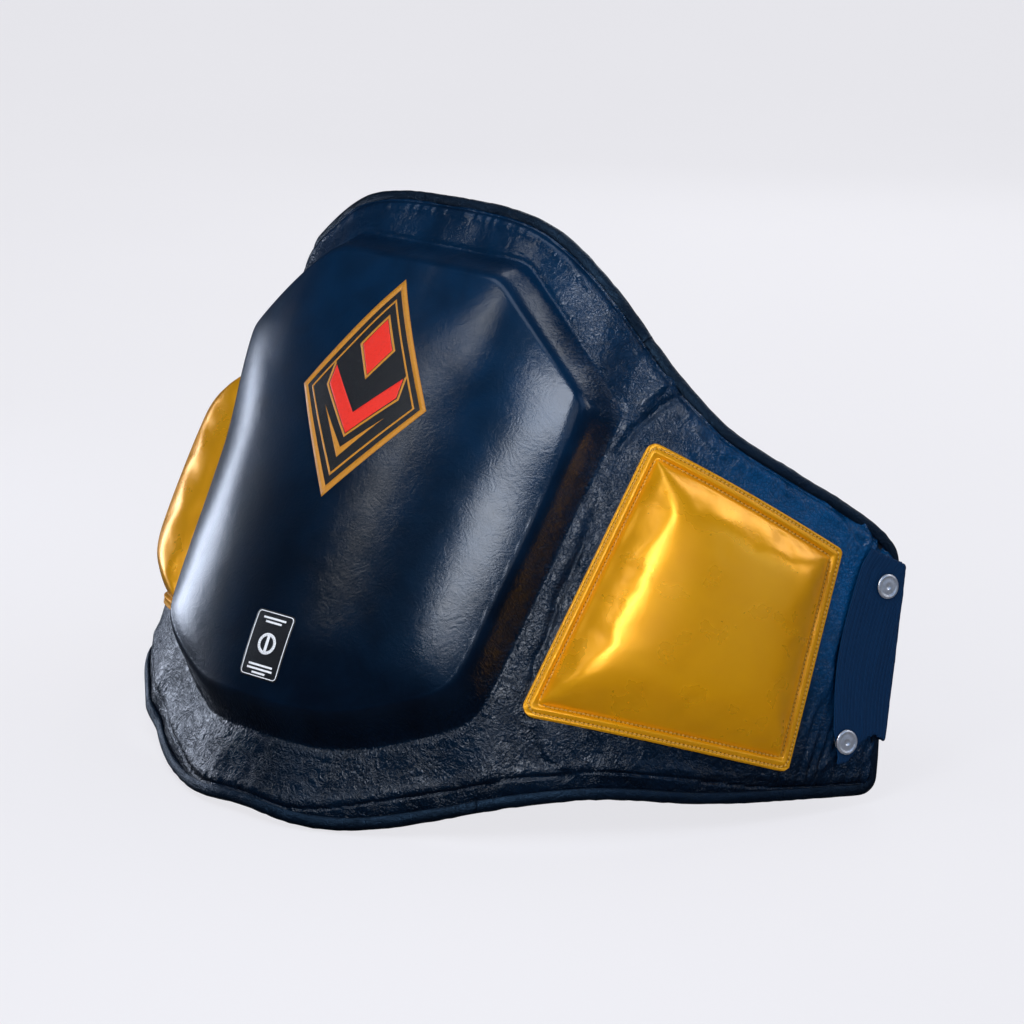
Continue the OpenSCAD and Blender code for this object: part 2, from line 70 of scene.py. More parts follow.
# ============================================================ driving dimensions
LEAN = math.radians(31.0)
BODY_T, WING_END_T = 16.0, 5.0     # thickness of the body and of the wing end
CROWN, BELLY = 194.0, 193.0        # top and bottom of the pad, from z = 0
REACH, SLANT = 366.5, 0.29         # wing end at z = 0, and how fast it comes in with height
FLEX = 152.0                       # arc of the flex line
SEAM = 150.0                       # arc where wing leather takes over from body leather
TAPER_START, TAPER_END = FLEX + 20, 336    # arcs between which the wing thins
BLOCK_H, BLOCK_CROWN = 22.0, 4.4   # height of the strike block, the crowned part of it
RUN = 18.0                         # width of the slope around the block
COVER = 1.7                        # leather thickness
MESH_STEP = 1.35

ARC_STEP = 0.25
BEND_ENDS = [140, 185, 235]        # arcs at which the bend radius changes
BEND_RADII = np.array([248.0, 915.0, 180.0, 339.0])

# arc, drop below the crown
TOP_DROP = [(0, 0), (45, 1.5), (85, 11), (130, 37), (175, 68), (215, 88),
            (260, 97), (318, 106), (340, 114), (356, 126)]
# arc, rise above the belly
LOW_RISE = [(0, 0), (45, -0.5), (85, 9), (130, 30), (175, 54), (215, 72),
            (277, 92), (341, 118), (388, 137)]
# arc, z of the strike block's outline, counter-clockwise
BLOCK_OUTLINE = [(114, -96), (131, 87), (61, 144), (-61, 144),
                 (-131, 87), (-114, -96), (-50, -132), (50, -132)]

# creases in the wing leather: points (arc, z), height (- is a valley), width
WRINKLES = [
    ([(186, 124), (171, 107), (160, 88), (155, 70)], -1.5, 3.2),
    ([(178, 131), (166, 116), (157, 101)], 0.9, 4.0),
    ([(200, 113), (214, 103), (232, 99), (250, 92)], -0.8, 2.6),
    ([(196, 104), (206, 97), (222, 92)], 0.55, 3.0),
    ([(228, 104), (244, 98), (262, 90), (280, 84)], -0.7, 2.2),
    ([(262, 98), (280, 93), (300, 82)], 0.55, 2.6),
    ([(286, 95), (300, 88), (316, 74)], -0.8, 2.2),
    ([(312, 92), (322, 80), (326, 62)], 0.8, 2.6),
    ([(326, 90), (331, 76), (333, 62)], -0.9, 2.2),
    ([(334, 50), (337, 20), (343, -8)], 0.7, 3.0),
    ([(326, 40), (329, 10), (334, -22)], -0.6, 2.6),
    ([(318, 58), (322, 20), (328, -30)], 0.4, 3.0),
    ([(157, 40), (155, 5), (153, -40), (156, -90)], -1.0, 3.2),
    ([(163, -100), (176, -112), (196, -118)], -0.6, 3.0),
    ([(200, -112), (228, -104), (262, -96)], 0.5, 3.5),
    ([(270, -92), (300, -80), (330, -74)], -0.5, 3.0),
    ([(330, -70), (345, -55), (352, -40)], 0.5, 3.0),
]
WRINKLE_GAIN, WRINKLE_WIDTH = 1.7, 0.85    # applied to all heights and widths above


# ============================================================ small maths
def ease(amount):
    amount = np.clip(amount, 0, 1)
    return amount * amount * (3 - 2 * amount)


def mix(start, end, amount):
    return start + (end - start) * amount


def bell(distance, width):
    return np.exp(-(distance / width) ** 2)


def unit(vector):
    return vector / np.maximum(np.linalg.norm(vector, axis=-1, keepdims=True), 1e-12)


def smooth_max(first, second, width):
    "the larger of the two with a rounded change-over"
    blend = np.clip((first - second) / width, -1, 1)
    rounded_max = second + width * (blend + 1) ** 2 / 4
    return np.where(np.abs(first - second) >= width, np.maximum(first, second), rounded_max)


def fillet(distance, radius=9.0):
    "how far a round corner cuts in, at a distance from the side"
    distance = np.clip(distance, 0, radius)
    return radius - np.sqrt(np.maximum(radius * radius - (radius - distance) ** 2, 0))


def lattice(rows, columns):
    "two grids that run 0..1 along the rows and along the columns"
    return np.meshgrid(np.linspace(0, 1, rows), np.linspace(0, 1, columns), indexing="ij")


def bilinear(across, up, corner0, corner1, corner2, corner3):
    return ((1 - across) * (1 - up) * corner0 + across * (1 - up) * corner1
            + across * up * corner2 + (1 - across) * up * corner3)


def hermite(stations):
    "smooth curve through (distance, value) stations, even about 0 and level there"
    place, value = np.array(stations, float).T
    tangent = np.zeros(len(place))
    tangent[1:-1] = (value[2:] - value[:-2]) / (place[2:] - place[:-2])
    tangent[-1] = (value[-1] - value[-2]) / (place[-1] - place[-2])

    def curve(query):
        query = np.abs(np.asarray(query, float))
        i = np.clip(np.searchsorted(place, query, side="left") - 1, 0, len(place) - 2)
        span = place[i + 1] - place[i]
        part = (query - place[i]) / span
        return ((2 * part**3 - 3 * part**2 + 1) * value[i]
                + (part**3 - 2 * part**2 + part) * span * tangent[i]
                + (3 * part**2 - 2 * part**3) * value[i + 1]
                + (part**3 - part**2) * span * tangent[i + 1])
    return curve


def noise(x, y, scale, seed):
    "smooth value noise, -1..1"
    table = np.random.default_rng(seed).random((256, 256)) * 2 - 1
    x = x / scale + 1000.5
    y = y / scale + 1000.5
    i, j = np.floor(x).astype(int), np.floor(y).astype(int)
    part_x, part_y = x - i, y - j
    part_x = part_x * part_x * part_x * (part_x * (part_x * 6 - 15) + 10)
    part_y = part_y * part_y * part_y * (part_y * (part_y * 6 - 15) + 10)
    near = mix(table[i % 256, j % 256], table[(i + 1) % 256, j % 256], part_x)
    far = mix(table[i % 256, (j + 1) % 256], table[(i + 1) % 256, (j + 1) % 256], part_x)
    return mix(near, far, part_y)


def path_lengths(path):
    "distance from the start to each point of a path"
    return np.concatenate([[0], np.cumsum(np.hypot(*np.diff(path, axis=0).T))])


def path_at(path, lengths, distance):
    return np.stack([np.interp(distance, lengths, path[:, 0]),
                     np.interp(distance, lengths, path[:, 1])], -1)


# ============================================================ pad shape
def integral(values):
    return np.concatenate([[0], np.cumsum((values[1:] + values[:-1]) / 2 * ARC_STEP)])


def section_curve():
    "arc, x, y and turn along the right half of the section, its bends blended"
    arc = np.arange(0, 430, ARC_STEP)
    bend = 1 / BEND_RADII[np.searchsorted(BEND_ENDS, arc, side="right")]
    window = np.exp(-0.5 * (np.arange(-60, 61) * ARC_STEP / 5.0) ** 2)
    window /= window.sum()
    bend = np.convolve(np.pad(bend, 60, mode="edge"), window, mode="valid")
    turn = integral(bend)
    return arc, integral(np.cos(turn)), integral(np.sin(turn)), turn


SECTION = section_curve()
top_z = hermite([(arc, CROWN - drop) for arc, drop in TOP_DROP])
low_z = hermite([(arc, rise - BELLY) for arc, rise in LOW_RISE])


def section_at(arc):
    "x, y and turn angle of the section"
    return tuple(np.interp(np.abs(arc), SECTION[0], column) for column in SECTION[1:])


def tilt(vector):
    x, y, z = vector[..., 0], vector[..., 1], vector[..., 2]
    cos_lean, sin_lean = math.cos(LEAN), math.sin(LEAN)
    return np.stack([x, y * cos_lean + z * sin_lean, -y * sin_lean + z * cos_lean], -1)


def row(point):
    "upright pad coordinates to the row frame"
    return tilt(point - np.array([0, BODY_T, 0]))


def upright(arc, z, out):
    arc, z, out = np.broadcast_arrays(arc, z, out)
    x, y, turn = section_at(arc)
    sign = np.where(arc < 0, -1.0, 1.0)
    return np.stack([sign * (x + out * np.sin(turn)), y - out * np.cos(turn), z], -1)


def skin(arc, z, out):
    "point of the pad in the row frame"
    return row(upright(arc, z, out + flare(arc, z)))


def block_distance(arc, z):
    "smooth distance inside the strike block's outline"
    soft = mix(6.5, 2.4, ease((z + 125) / 150.0))      # lower corners are rounder
    total = 0
    for (x0, z0), (x1, z1) in zip(BLOCK_OUTLINE, BLOCK_OUTLINE[1:] + BLOCK_OUTLINE[:1]):
        side_x, side_z = x1 - x0, z1 - z0
        inside = ((arc - x0) * -side_z + (z - z0) * side_x) / math.hypot(side_x, side_z)
        total = total + np.exp(-np.clip(inside, -90, 250) / soft)
    return -soft * np.log(total)


def flare(arc, z):
    "the body swells forward at the upper sides and back at the lower ones"
    across = np.abs(arc)
    amount = 9.0 * ease((z - 10) / 90) - 6.0 * ease((-z - 90) / 60)
    amount = amount * ease((across - 15) / 65) * (1 - ease((across - 124) / 27))
    return amount * (1 - np.clip(block_distance(arc, z) / 120.0, 0, 1)) ** 2


def end_arc(z):
    "arc of the slanted wing end"
    return REACH - SLANT * z


def thickness(arc):
    taper = (np.abs(arc) - TAPER_START) / (TAPER_END - TAPER_START)
    return mix(BODY_T, WING_END_T, ease(taper))


def edge_distances(arc, z):
    "distances inside the top and the lower bound edge"
    across = np.abs(arc)
    top_slope = top_z(across + 0.5) - top_z(across - 0.5)
    low_slope = low_z(across + 0.5) - low_z(across - 0.5)
    return ((top_z(arc) - z) / np.sqrt(1 + top_slope**2),
            (z - low_z(arc)) / np.sqrt(1 + low_slope**2))


def facing(arc, z):
    "edge distance, how far in the seam runs, and how wide (0..1) the lower facing is"
    top, low = edge_distances(arc, z)
    across = np.abs(arc)
    wide = ease((across - 25) / 70) * (1 - ease((across - 240) / 95))
    wide = np.where(low < top, wide, 0)
    return np.minimum(top, low), np.where(low < top, 4.6 + 8.0 * wide, 5.0), wide


def edge_roll(arc, z):
    "the front leather rolls down to the bound edge, with a groove at the facing's seam"
    edge, seam, wide = facing(arc, z)
    depth = np.minimum(1.7 + 2.2 * wide, 0.22 * thickness(arc))
    out = -depth * (1 - ease(edge / (seam + 4.0))) ** 1.15
    out = out - 1.0 * bell(edge - seam, 0.8)                         # seam groove
    out = out + 0.55 * bell(edge - seam - 4.2, 3.0)                  # puff inside the seam
    return out + 0.45 * wide * bell(edge - 0.5 * seam, 0.3 * seam)   # puffed facing


def crease(arc, z, points, width):
    "ridge along a polyline that fades out at both ends"
    nearest = np.full(np.shape(arc), 1e9)
    along = np.zeros(np.shape(arc))
    count = len(points) - 1
    for i in range(count):
        (x0, z0), (x1, z1) = points[i], points[i + 1]
        leg_x, leg_z = x1 - x0, z1 - z0
        part = ((arc - x0) * leg_x + (z - z0) * leg_z) / (leg_x * leg_x + leg_z * leg_z)
        part = np.clip(part, 0, 1)
        distance = np.hypot(arc - x0 - part * leg_x, z - z0 - part * leg_z)
        along = np.where(distance < nearest, (i + part) / count, along)
        nearest = np.minimum(nearest, distance)
    return bell(nearest, width) * np.sin(np.clip(along, 0, 1) * math.pi) ** 0.5


def fine_creases(x, y, scale, seed):
    "sharp lines along the zero lines of a noise"
    level = noise(x, y, scale, seed) + 0.5 * noise(x, y, scale * 0.47, seed + 1)
    return np.exp(-np.abs(level) / 0.10)


def front_offset(arc, z):
    "front face of the leather"
    across = np.abs(arc)
    inside = block_distance(arc, z)
    # strike block: slope, rounded shoulder, crowned face and a groove round its foot
    out = smooth_max(BLOCK_H * (inside + RUN) / RUN, 0.0, 3.6)
    out = -smooth_max(-out, -(BLOCK_H - BLOCK_CROWN), 4.6)
    out = out + BLOCK_CROWN * (1 - (1 - np.clip(inside / 50.0, 0, 1)) ** 2)
    out = out - 0.8 * bell(inside + RUN + 2.2, 2.2)
    # leather around the block, and a slow wave on the block
    flat = 1 - ease((inside + RUN + 3) / 7.0)
    waves = 0.40 * noise(arc, z, 19.0, 3) + 0.07 * noise(arc, z, 6.5, 4)
    out = out + flat * (edge_roll(arc, z) + waves)
    out = out - flat * 0.16 * fine_creases(arc * 0.75, z, 13.0, 14)
    out = out + (1 - flat) * (0.16 * noise(arc, z, 34.0, 5))
    for i, (points, height, width) in enumerate(WRINKLES):
        wobble = 1.6 * noise(arc, z, 13.0, 40 + i)
        line = crease(across + wobble, z + wobble, points, width * WRINKLE_WIDTH)
        out = out + WRINKLE_GAIN * height * line * np.where(arc < 0, 0.8, 1.0)
    lines = fine_creases(arc * 0.6 + z * 0.5, z * 0.8 - arc * 0.2, 15.0, 23)
    wing = ease((across - 146) / 14.0)
    out = out + wing * (0.20 * noise(arc, z, 11.0, 9) - 0.22 * lines)
    # upright folds at the wing end
    shift = 4 * noise(arc, z, 20, 51)
    folds = noise(across * 2.6 + shift, z * 0.42, 9.0, 52)
    out = out + ease((across - 300) / 36.0) * 1.35 * folds
    # short puckers that run in from the seams
    edge, seam, _ = facing(arc, z)
    puckers = noise(across * 2.6, edge * 0.5, 9.0, 12)
    return out + 0.30 * bell(edge - seam - 3.5, 4.5) * puckers * flat


def back_offset(arc, z):
    "rear face of the lining"
    across = np.abs(arc)
    thick = thickness(arc)
    edge = np.minimum(*edge_distances(arc, z))
    end = (end_arc(z) - across) / math.sqrt(1 + SLANT**2)
    edge = np.where(across > 300, np.minimum(edge, end), edge)
    out = -mix(0.55 * thick, thick, ease(edge / 26.0))
    out = out + 0.8 * bell(edge - 5.0, 1.2)            # groove beside the edge
    out = out + 1.6 * bell(across - FLEX, 3.0)         # channel at the flex line
    return out + 0.25 * noise(arc, z, 21.0, 21) + 0.12 * noise(arc, z, 8.0, 22)


# ============================================================ mesh helpers
def build(name, points, faces, material, uv=None, normals=None, face_slots=None):
    "smooth mesh object; points and uv in mm; material may be a list"
    mesh = bpy.data.meshes.new(name)
    mesh.from_pydata((np.asarray(points) / 1000.0).tolist(), [],
                     [list(map(int, face)) for face in faces])
    mesh.polygons.foreach_set("use_smooth", np.ones(len(mesh.polygons), bool))
    if uv is not None:
        layer = mesh.uv_layers.new(name="UVMap")
        corners = np.zeros(len(mesh.loops), np.int32)
        mesh.loops.foreach_get("vertex_index", corners)
        layer.data.foreach_set("uv", (np.asarray(uv) / 1000.0)[corners].astype(np.float32).ravel())
    for entry in material if isinstance(material, list) else [material]:
        mesh.materials.append(entry)
    if face_slots is not None:
        mesh.polygons.foreach_set("material_index", np.asarray(face_slots, np.int32))
    mesh.validate()
    mesh.update()
    if normals is not None:
        mesh.normals_split_custom_set_from_vertices(np.asarray(normals, np.float32).tolist())
    piece = bpy.data.objects.new(name, mesh)
    bpy.context.scene.collection.objects.link(piece)
    return piece


def add_attribute(piece, name, values):
    "the same point values on the outer and the inner surface"
    layer = piece.data.attributes.new(name, "FLOAT", "POINT")
    layer.data.foreach_set("value", np.tile(np.ravel(values), 2).astype(np.float32))


def grid_faces(rows, columns, offset=0, flip=False, wrap=False):
    i, j = np.meshgrid(np.arange(rows - 1), np.arange(columns if wrap else columns - 1),
                       indexing="ij")
    here, beside = i * columns + j, i * columns + (j + 1) % columns
    faces = np.stack([here, here + columns, beside + columns, beside], -1)
    faces = faces.reshape(-1, 4) + offset
    return faces[:, ::-1] if flip else faces


def slab_faces(rows, columns, flip):
    "outer grid, inner grid and the rim between them"
    inner = rows * columns
    faces = [grid_faces(rows, columns, 0, flip), grid_faces(rows, columns, inner, not flip)]
    i, j = np.arange(rows) * columns, np.arange(columns)
    for side in (i, (i + columns - 1)[::-1], j[::-1], inner - columns + j):
        strip = np.stack([side[:-1], side[1:], side[1:] + inner, side[:-1] + inner], -1)
        faces.append(strip if flip else strip[:, ::-1])
    return np.concatenate(faces)


def build_slabs(name, slabs, material, normals=None):
    "closed slabs in one mesh, each given as (outer grid, inner grid, uv grid, flip)"
    points, faces, uvs = [], [], []
    offset = 0
    for outer, inner, uv, flip in slabs:
        rows, columns = uv.shape[:2]
        points += [outer.reshape(-1, 3), inner.reshape(-1, 3)]
        uvs += [uv.reshape(-1, 2)] * 2
        faces.append(slab_faces(rows, columns, flip) + offset)
        offset += 2 * rows * columns
    return build(name, np.concatenate(points), np.concatenate(faces), material,
                 np.concatenate(uvs), normals)


def surface_normals(surface, arc, z, step=0.35):
    along = surface(arc + step, z) - surface(arc - step, z)
    up = surface(arc, z + step) - surface(arc, z - step)
    return unit(np.cross(along, up)).reshape(-1, 3)


def build_shell(name, arc, z, outer, inner, material, flip=False):
    "closed thin shell between two surfaces, shaded with their exact normals"
    turn = -1 if flip else 1
    normals = np.concatenate([turn * surface_normals(outer, arc, z),
                              -turn * surface_normals(inner, arc, z)])
    slab = (outer(arc, z), inner(arc, z), np.stack([arc, z], -1), flip)
    return build_slabs(name, [slab], material, normals)


def describe(piece, slot, *replaced):
    if replaced:
        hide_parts(*replaced)


def attach(piece, part, slot, *replaced):
    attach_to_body(piece, part)
    describe(piece, slot, *replaced)


def attach_wing(piece, sign, side, slot, *replaced):
    """a wing piece, its transform baked into the mesh and the CAD parts it replaces hidden; points
    just outside the seam are worked out but not used
    """
    start, end = (skin(arc, 0, -8.0) / 1000.0 * [sign, 1, 1] for arc in (SEAM, SEAM + 17))
    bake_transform(piece)
    describe(piece, slot, *replaced)


# ============================================================ shader node helpers
class Nodes:
    "short builder for a node tree"

    def __init__(self, tree):
        self.tree = tree
        tree.nodes.clear()

    def feed(self, socket, value):
        if isinstance(value, bpy.types.NodeSocket):
            self.tree.links.new(value, socket)
        elif socket.type == "RGBA":
            socket.default_value = (*value, 1.0)
        else:
            socket.default_value = value

    def node(self, kind, inputs=None, **settings):
        node = self.tree.nodes.new("ShaderNode" + kind)
        for key, value in settings.items():
            setattr(node, key, value)
        self.fill(node, inputs or {})
        return node

    def fill(self, node, inputs):
        for key, value in inputs.items():
            self.feed(node.inputs[key], value)

    def coords(self, source="UV", scale=1000.0):
        "texture coordinates; the default scale makes 1 unit = 1 mm"
        place = self.node("TexCoord").outputs[source]
        return self.node("Mapping", {0: place, "Scale": (scale,) * 3}).outputs[0]

    def noise(self, vector, scale, detail=3, rough=0.5, distortion=0.0):
        return self.node("TexNoise", {"Vector": vector, "Scale": scale, "Detail": detail,
                                      "Roughness": rough, "Distortion": distortion}).outputs[0]

    def voronoi(self, vector, scale, feature="DISTANCE_TO_EDGE", randomness=1.0):
        node = self.node("TexVoronoi", feature=feature)
        self.fill(node, {"Vector": vector, "Scale": scale, "Randomness": randomness})
        return node.outputs["Distance"]

    def math(self, operation, first, second=0.0):
        return self.node("Math", {0: first, 1: second}, operation=operation).outputs[0]

    def vector_math(self, operation, inputs):
        return self.node("VectorMath", inputs, operation=operation).outputs[0]

    def ramp(self, value, low, high, to_low=0.0, to_high=1.0):
        return self.node("MapRange", {0: value, 1: low, 2: high, 3: to_low, 4: to_high},
                         interpolation_type="SMOOTHSTEP").outputs[0]

    def mix_color(self, factor, first, second):
        return self.node("Mix", {0: factor, 6: first, 7: second}, data_type="RGBA").outputs[2]

    def mix_float(self, factor, first, second):
        return self.node("Mix", {0: factor, 2: first, 3: second}, data_type="FLOAT").outputs[0]

    def attribute(self, name):
        return self.node("Attribute", attribute_name=name).outputs["Fac"]

    def warp(self, vector, scale, amount):
        "vector moved about by noise, so that patterns aren't regular"
        shift = self.node("TexNoise", {"Vector": vector, "Scale": scale, "Detail": 2})
        shift = self.vector_math("SUBTRACT", {0: shift.outputs["Color"], 1: (0.5, 0.5, 0.5)})
        shift = self.vector_math("SCALE", {0: shift, "Scale": amount})
        return self.vector_math("ADD", {0: vector, 1: shift})

    def bump(self, height, distance, strength=1.0, normal=None):
        "distance in metres"
        inputs = {"Strength": strength, "Distance": distance, "Height": height}
        if normal is not None:
            inputs["Normal"] = normal
        return self.node("Bump", inputs).outputs[0]


def new_material(name):
    "material, node builder and a setter for the surface shader's inputs"
    material = bpy.data.materials.new(name)
    material.use_nodes = True
    nodes = Nodes(material.node_tree)
    output = nodes.node("OutputMaterial")
    shader = nodes.node("BsdfPrincipled")
    nodes.feed(output.inputs[0], shader.outputs[0])
    return material, nodes, lambda inputs: nodes.fill(shader, inputs)


def darker(color, factor):
    return tuple(channel * factor for channel in color)


# ============================================================ materials
def leather(name, color, patch_color, rough, grain, depth, fold=1.0, valley=0.6, masked=False,
            even=False, deep=None, tint=None, metallic=0.0, spec=0.5, coat=0.0, coat_rough=0.16):
    """Pebbled leather. rough: low and high roughness; grain: pebble size, mm; depth: pebble
    bump, m; fold: strength of long creases; valley: brightness between pebbles; masked: the
    'grain' attribute says where it is pebbled; even: same pebbles all over; deep: colour of
    painted blue light, brought in by the 'blue' attribute; tint: specular tint."""
    material, nodes, surface = new_material(name)
    place = nodes.coords()
    warped = nodes.warp(nodes.warp(place, 0.12, 3.0), 0.5, 0.8)
    cells = nodes.voronoi(warped, 1.0 / grain)
    fine = nodes.ramp(nodes.voronoi(nodes.warp(place, 0.9, 0.8), 2.3 / grain), 0.0, 0.3)
    pores = nodes.noise(place, 4.5, 3, 0.6)
    patches = nodes.noise(place, 0.03, 4, 0.55, 0.4)
    # long shallow creases: the zero lines of a warped noise
    crease_noise = nodes.noise(nodes.warp(place, 0.05, 14.0), 0.10, 5, 0.60, 1.2)
    crease_line = nodes.math("ABSOLUTE", nodes.math("SUBTRACT", crease_noise, 0.5))
    creases = nodes.math("POWER", crease_line, 0.6)

    variation = nodes.ramp(nodes.noise(place, 0.045, 3, 0.5), 0.35, 0.65,
                           0.9 if even else 0.45, 1.0)
    pebbles = nodes.math("ADD", nodes.ramp(cells, 0.0, 0.38), nodes.math("MULTIPLY", fine, 0.16))
    pebbles = nodes.math("MULTIPLY", pebbles, variation)
    pattern, fold_strength = pebbles, 0.55
    dark = nodes.ramp(cells, 0.0, 0.14, valley, 1.0)
    valleys = nodes.math("SUBTRACT", 1.0, nodes.math("MINIMUM", pebbles, 1.0))
    if masked:
        mask = nodes.attribute("grain")                # 0 smooth, 1 pebbled
        smooth = nodes.math("MULTIPLY", fine, 0.25 if even else 0.045)
        pattern = nodes.mix_float(mask, smooth, pebbles)
        fold_strength = nodes.mix_float(mask, 0.5 if even else 0.04, 0.55)
        dark = nodes.mix_float(mask, 1.0, dark)
        valleys = nodes.math("MULTIPLY", valleys, mask)
    relief = nodes.math("ADD", pattern, nodes.math("MULTIPLY", pores, 0.02))
    normal = nodes.bump(creases, 0.0014 * fold, fold_strength, nodes.bump(relief, depth))

    tone = nodes.mix_color(nodes.ramp(patches, 0.3, 0.72), color, patch_color)
    # painted blue light: the base colour turns bluer where the 'blue' attribute is high, on the top
    # and the wing ends, standing in for blue light falling there
    if deep is not None:
        amount = nodes.math("MULTIPLY", nodes.attribute("blue"),
                            nodes.ramp(patches, 0.25, 0.75, 0.75, 1.25))
        tone = nodes.mix_color(amount, tone, deep)
    roughness = nodes.ramp(nodes.noise(place, 0.05, 3, 0.6), 0.3, 0.7, *rough)
    surface({
        "Base Color": nodes.vector_math("SCALE", {0: tone, "Scale": dark}),
        "Roughness": nodes.math("ADD", roughness, nodes.math("MULTIPLY", valleys, 0.16)),
        "Normal": normal, "Metallic": metallic, "Specular IOR Level": spec,
        "Coat Weight": coat, "Coat Roughness": coat_rough})
    if coat > 0:
        surface({"Coat Normal": normal})
    if tint is not None:
        surface({"Specular Tint": tint})
    return material


def print_material(name, color, worn_color, rough=0.42):
    "thin ink that follows the leather's fine grain"
    material, nodes, surface = new_material(name)
    place = nodes.coords()
    grain = nodes.ramp(nodes.voronoi(nodes.warp(place, 0.8, 0.5), 1.9), 0.0, 0.3)
    wear = nodes.ramp(nodes.noise(place, 0.5, 5, 0.7), 0.32, 0.5)
    surface({
        "Normal": nodes.bump(grain, 0.00006, 0.8),
        "Base Color": nodes.mix_color(wear, worn_color, color),
        "Roughness": nodes.ramp(nodes.noise(place, 0.2, 3), 0.3, 0.7, rough - 0.06, rough + 0.08)})
    return material


def thread_material(name, color):
    material, nodes, surface = new_material(name)
    twist = nodes.node("TexWave", {"Vector": nodes.coords("Object"), "Scale": 1.6,
                                   "Distortion": 1.0}, bands_direction="DIAGONAL").outputs[1]
    surface({
        "Normal": nodes.bump(twist, 0.0001, 0.6),
        "Base Color": nodes.mix_color(twist, darker(color, 0.6), color),
        "Roughness": 0.55, "Sheen Weight": 0.3})
    return material


def metal_material(name, color, rough):
    material, nodes, surface = new_material(name)
    place = nodes.coords("Object")
    scuffs = nodes.noise(place, 0.9, 4, 0.6, 0.3)
    tone = nodes.ramp(nodes.noise(place, 0.4, 3), 0.35, 0.7)
    surface({
        "Roughness": nodes.ramp(scuffs, 0.35, 0.7, rough - 0.03, rough + 0.08),
        "Base Color": nodes.mix_color(tone, color, darker(color, 0.82)),
        "Metallic": 0.82,
        "Normal": nodes.bump(nodes.noise(place, 1.2, 3, 0.5), 0.00001, 0.3)})
    return material


def webbing_material(name, low_color, high_color):
    "woven band with fuzz"
    material, nodes, surface = new_material(name)
    place = nodes.coords()
    axes = nodes.node("SeparateXYZ", {0: place}).outputs
    waves = []
    for axis, spacing in ((0, 0.9), (1, 0.7)):         # thread spacing, mm
        phase = nodes.math("MULTIPLY", axes[axis], 2 * math.pi / spacing)
        waves.append(nodes.math("ADD", nodes.math("SINE", phase), 1.0))
    weave = nodes.math("MULTIPLY", *waves)
    fuzz = nodes.noise(place, 2.6, 3, 0.7)
    relief = nodes.math("ADD", nodes.math("MULTIPLY", weave, 0.25),
                        nodes.math("MULTIPLY", fuzz, 0.5))
    tone = nodes.math("ADD", weave, nodes.math("MULTIPLY", fuzz, 1.5))
    surface({
        "Normal": nodes.bump(relief, 0.00022, 0.8),
        "Base Color": nodes.mix_color(nodes.ramp(tone, 0.6, 3.6), low_color, high_color),
        "Roughness": nodes.ramp(fuzz, 0.3, 0.7, 0.55, 0.72),
        "Sheen Weight": 0.0, "Sheen Roughness": 0.4, "Specular IOR Level": 0.10})
    return material


def tape_material(name, hook):
    "hook tape has rows of small studs, loop tape a tangled pile"
    material, nodes, surface = new_material(name)
    place = nodes.coords()
    if hook:
        relief = nodes.ramp(nodes.voronoi(place, 0.75, "F1", randomness=0.15), 0.5, 0.1)
    else:
        relief = nodes.noise(nodes.warp(place, 1.2, 1.0), 2.0, 5, 0.8, 1.5)
    surface({
        "Normal": nodes.bump(relief, 0.0006, 0.9),
        "Base Color": nodes.mix_color(relief, (0.004, 0.004, 0.005), (0.030, 0.030, 0.033)),
        "Roughness": 0.5 if hook else 0.75, "Sheen Weight": 0.0 if hook else 0.6})
    return material


# navy leather; its deep colour is painted blue light for the top and the wing ends
NAVY = leather(
    "leather_navy", (0.0010, 0.0018, 0.0044), (0.0011, 0.0042, 0.0110), rough=(0.33, 0.40),
    grain=2.4, depth=0.00018, masked=True, deep=(0.0008, 0.050, 0.150), tint=(0.01, 0.40, 1.0),
    spec=0.17, coat=0.66, coat_rough=0.18)
LINING = leather(
    "leather_lining", (0.016, 0.017, 0.021), (0.026, 0.028, 0.034), rough=(0.42, 0.54),
    grain=1.5, depth=0.00020)
BINDING = leather(
    "leather_binding", (0.0010, 0.0018, 0.0040), (0.0012, 0.0040, 0.0100), rough=(0.30, 0.38),
    grain=1.5, depth=0.00012, tint=(0.30, 0.60, 1.0))
GOLD = leather(
    "leather_gold", (0.84, 0.368, 0.0015), (0.80, 0.340, 0.0012), rough=(0.26, 0.33),
    grain=1.3, depth=0.00007, fold=0.07, valley=0.97, masked=True, even=True,
    metallic=0.50, spec=0.3, coat=0.34)
PRINT_GOLD = print_material("print_gold", (0.50, 0.20, 0.008), (0.42, 0.16, 0.006))
PRINT_RED = print_material("print_red", (0.74, 0.014, 0.001), (0.64, 0.011, 0.001))
PRINT_BLACK = print_material("print_black", (0.006, 0.006, 0.007), (0.010, 0.010, 0.012),
                             rough=0.36)
PRINT_WHITE = print_material("print_white", (0.78, 0.79, 0.80), (0.62, 0.63, 0.64), rough=0.45)
# dark discs in the needle holes: painted shade, standing in for the shadow inside each hole
NEEDLE_HOLE_SHADE = print_material("needle_hole_painted_shade", (0.075, 0.032, 0.001), (0.045, 0.018, 0.001), rough=0.8)
THREAD = thread_material("thread_gold", (0.80, 0.42, 0.02))
STEEL = metal_material("snap_steel", (0.88, 0.88, 0.90), rough=0.32)
WEBBING = webbing_material("elastic_webbing", (0.0006, 0.0090, 0.032), (0.0012, 0.042, 0.125))
WEBBING_BLACK = webbing_material("webbing_black", (0.008, 0.008, 0.010), (0.045, 0.046, 0.052))
HOOK_TAPE = tape_material("tape_hook", hook=True)
LOOP_TAPE = tape_material("tape_loop", hook=False)


# ============================================================ leather covers
def front_outer(arc, z):
    return skin(arc, z, front_offset(arc, z))


def front_inner(arc, z):
    return skin(arc, z, front_offset(arc, z) - COVER)


def back_outer(arc, z):
    return skin(arc, z, back_offset(arc, z))


def back_inner(arc, z):
    "inner face of the lining, kept clear of the front leather"
    return skin(arc, z, np.minimum(back_offset(arc, z) + 1.4, front_offset(arc, z) - COVER - 0.2))


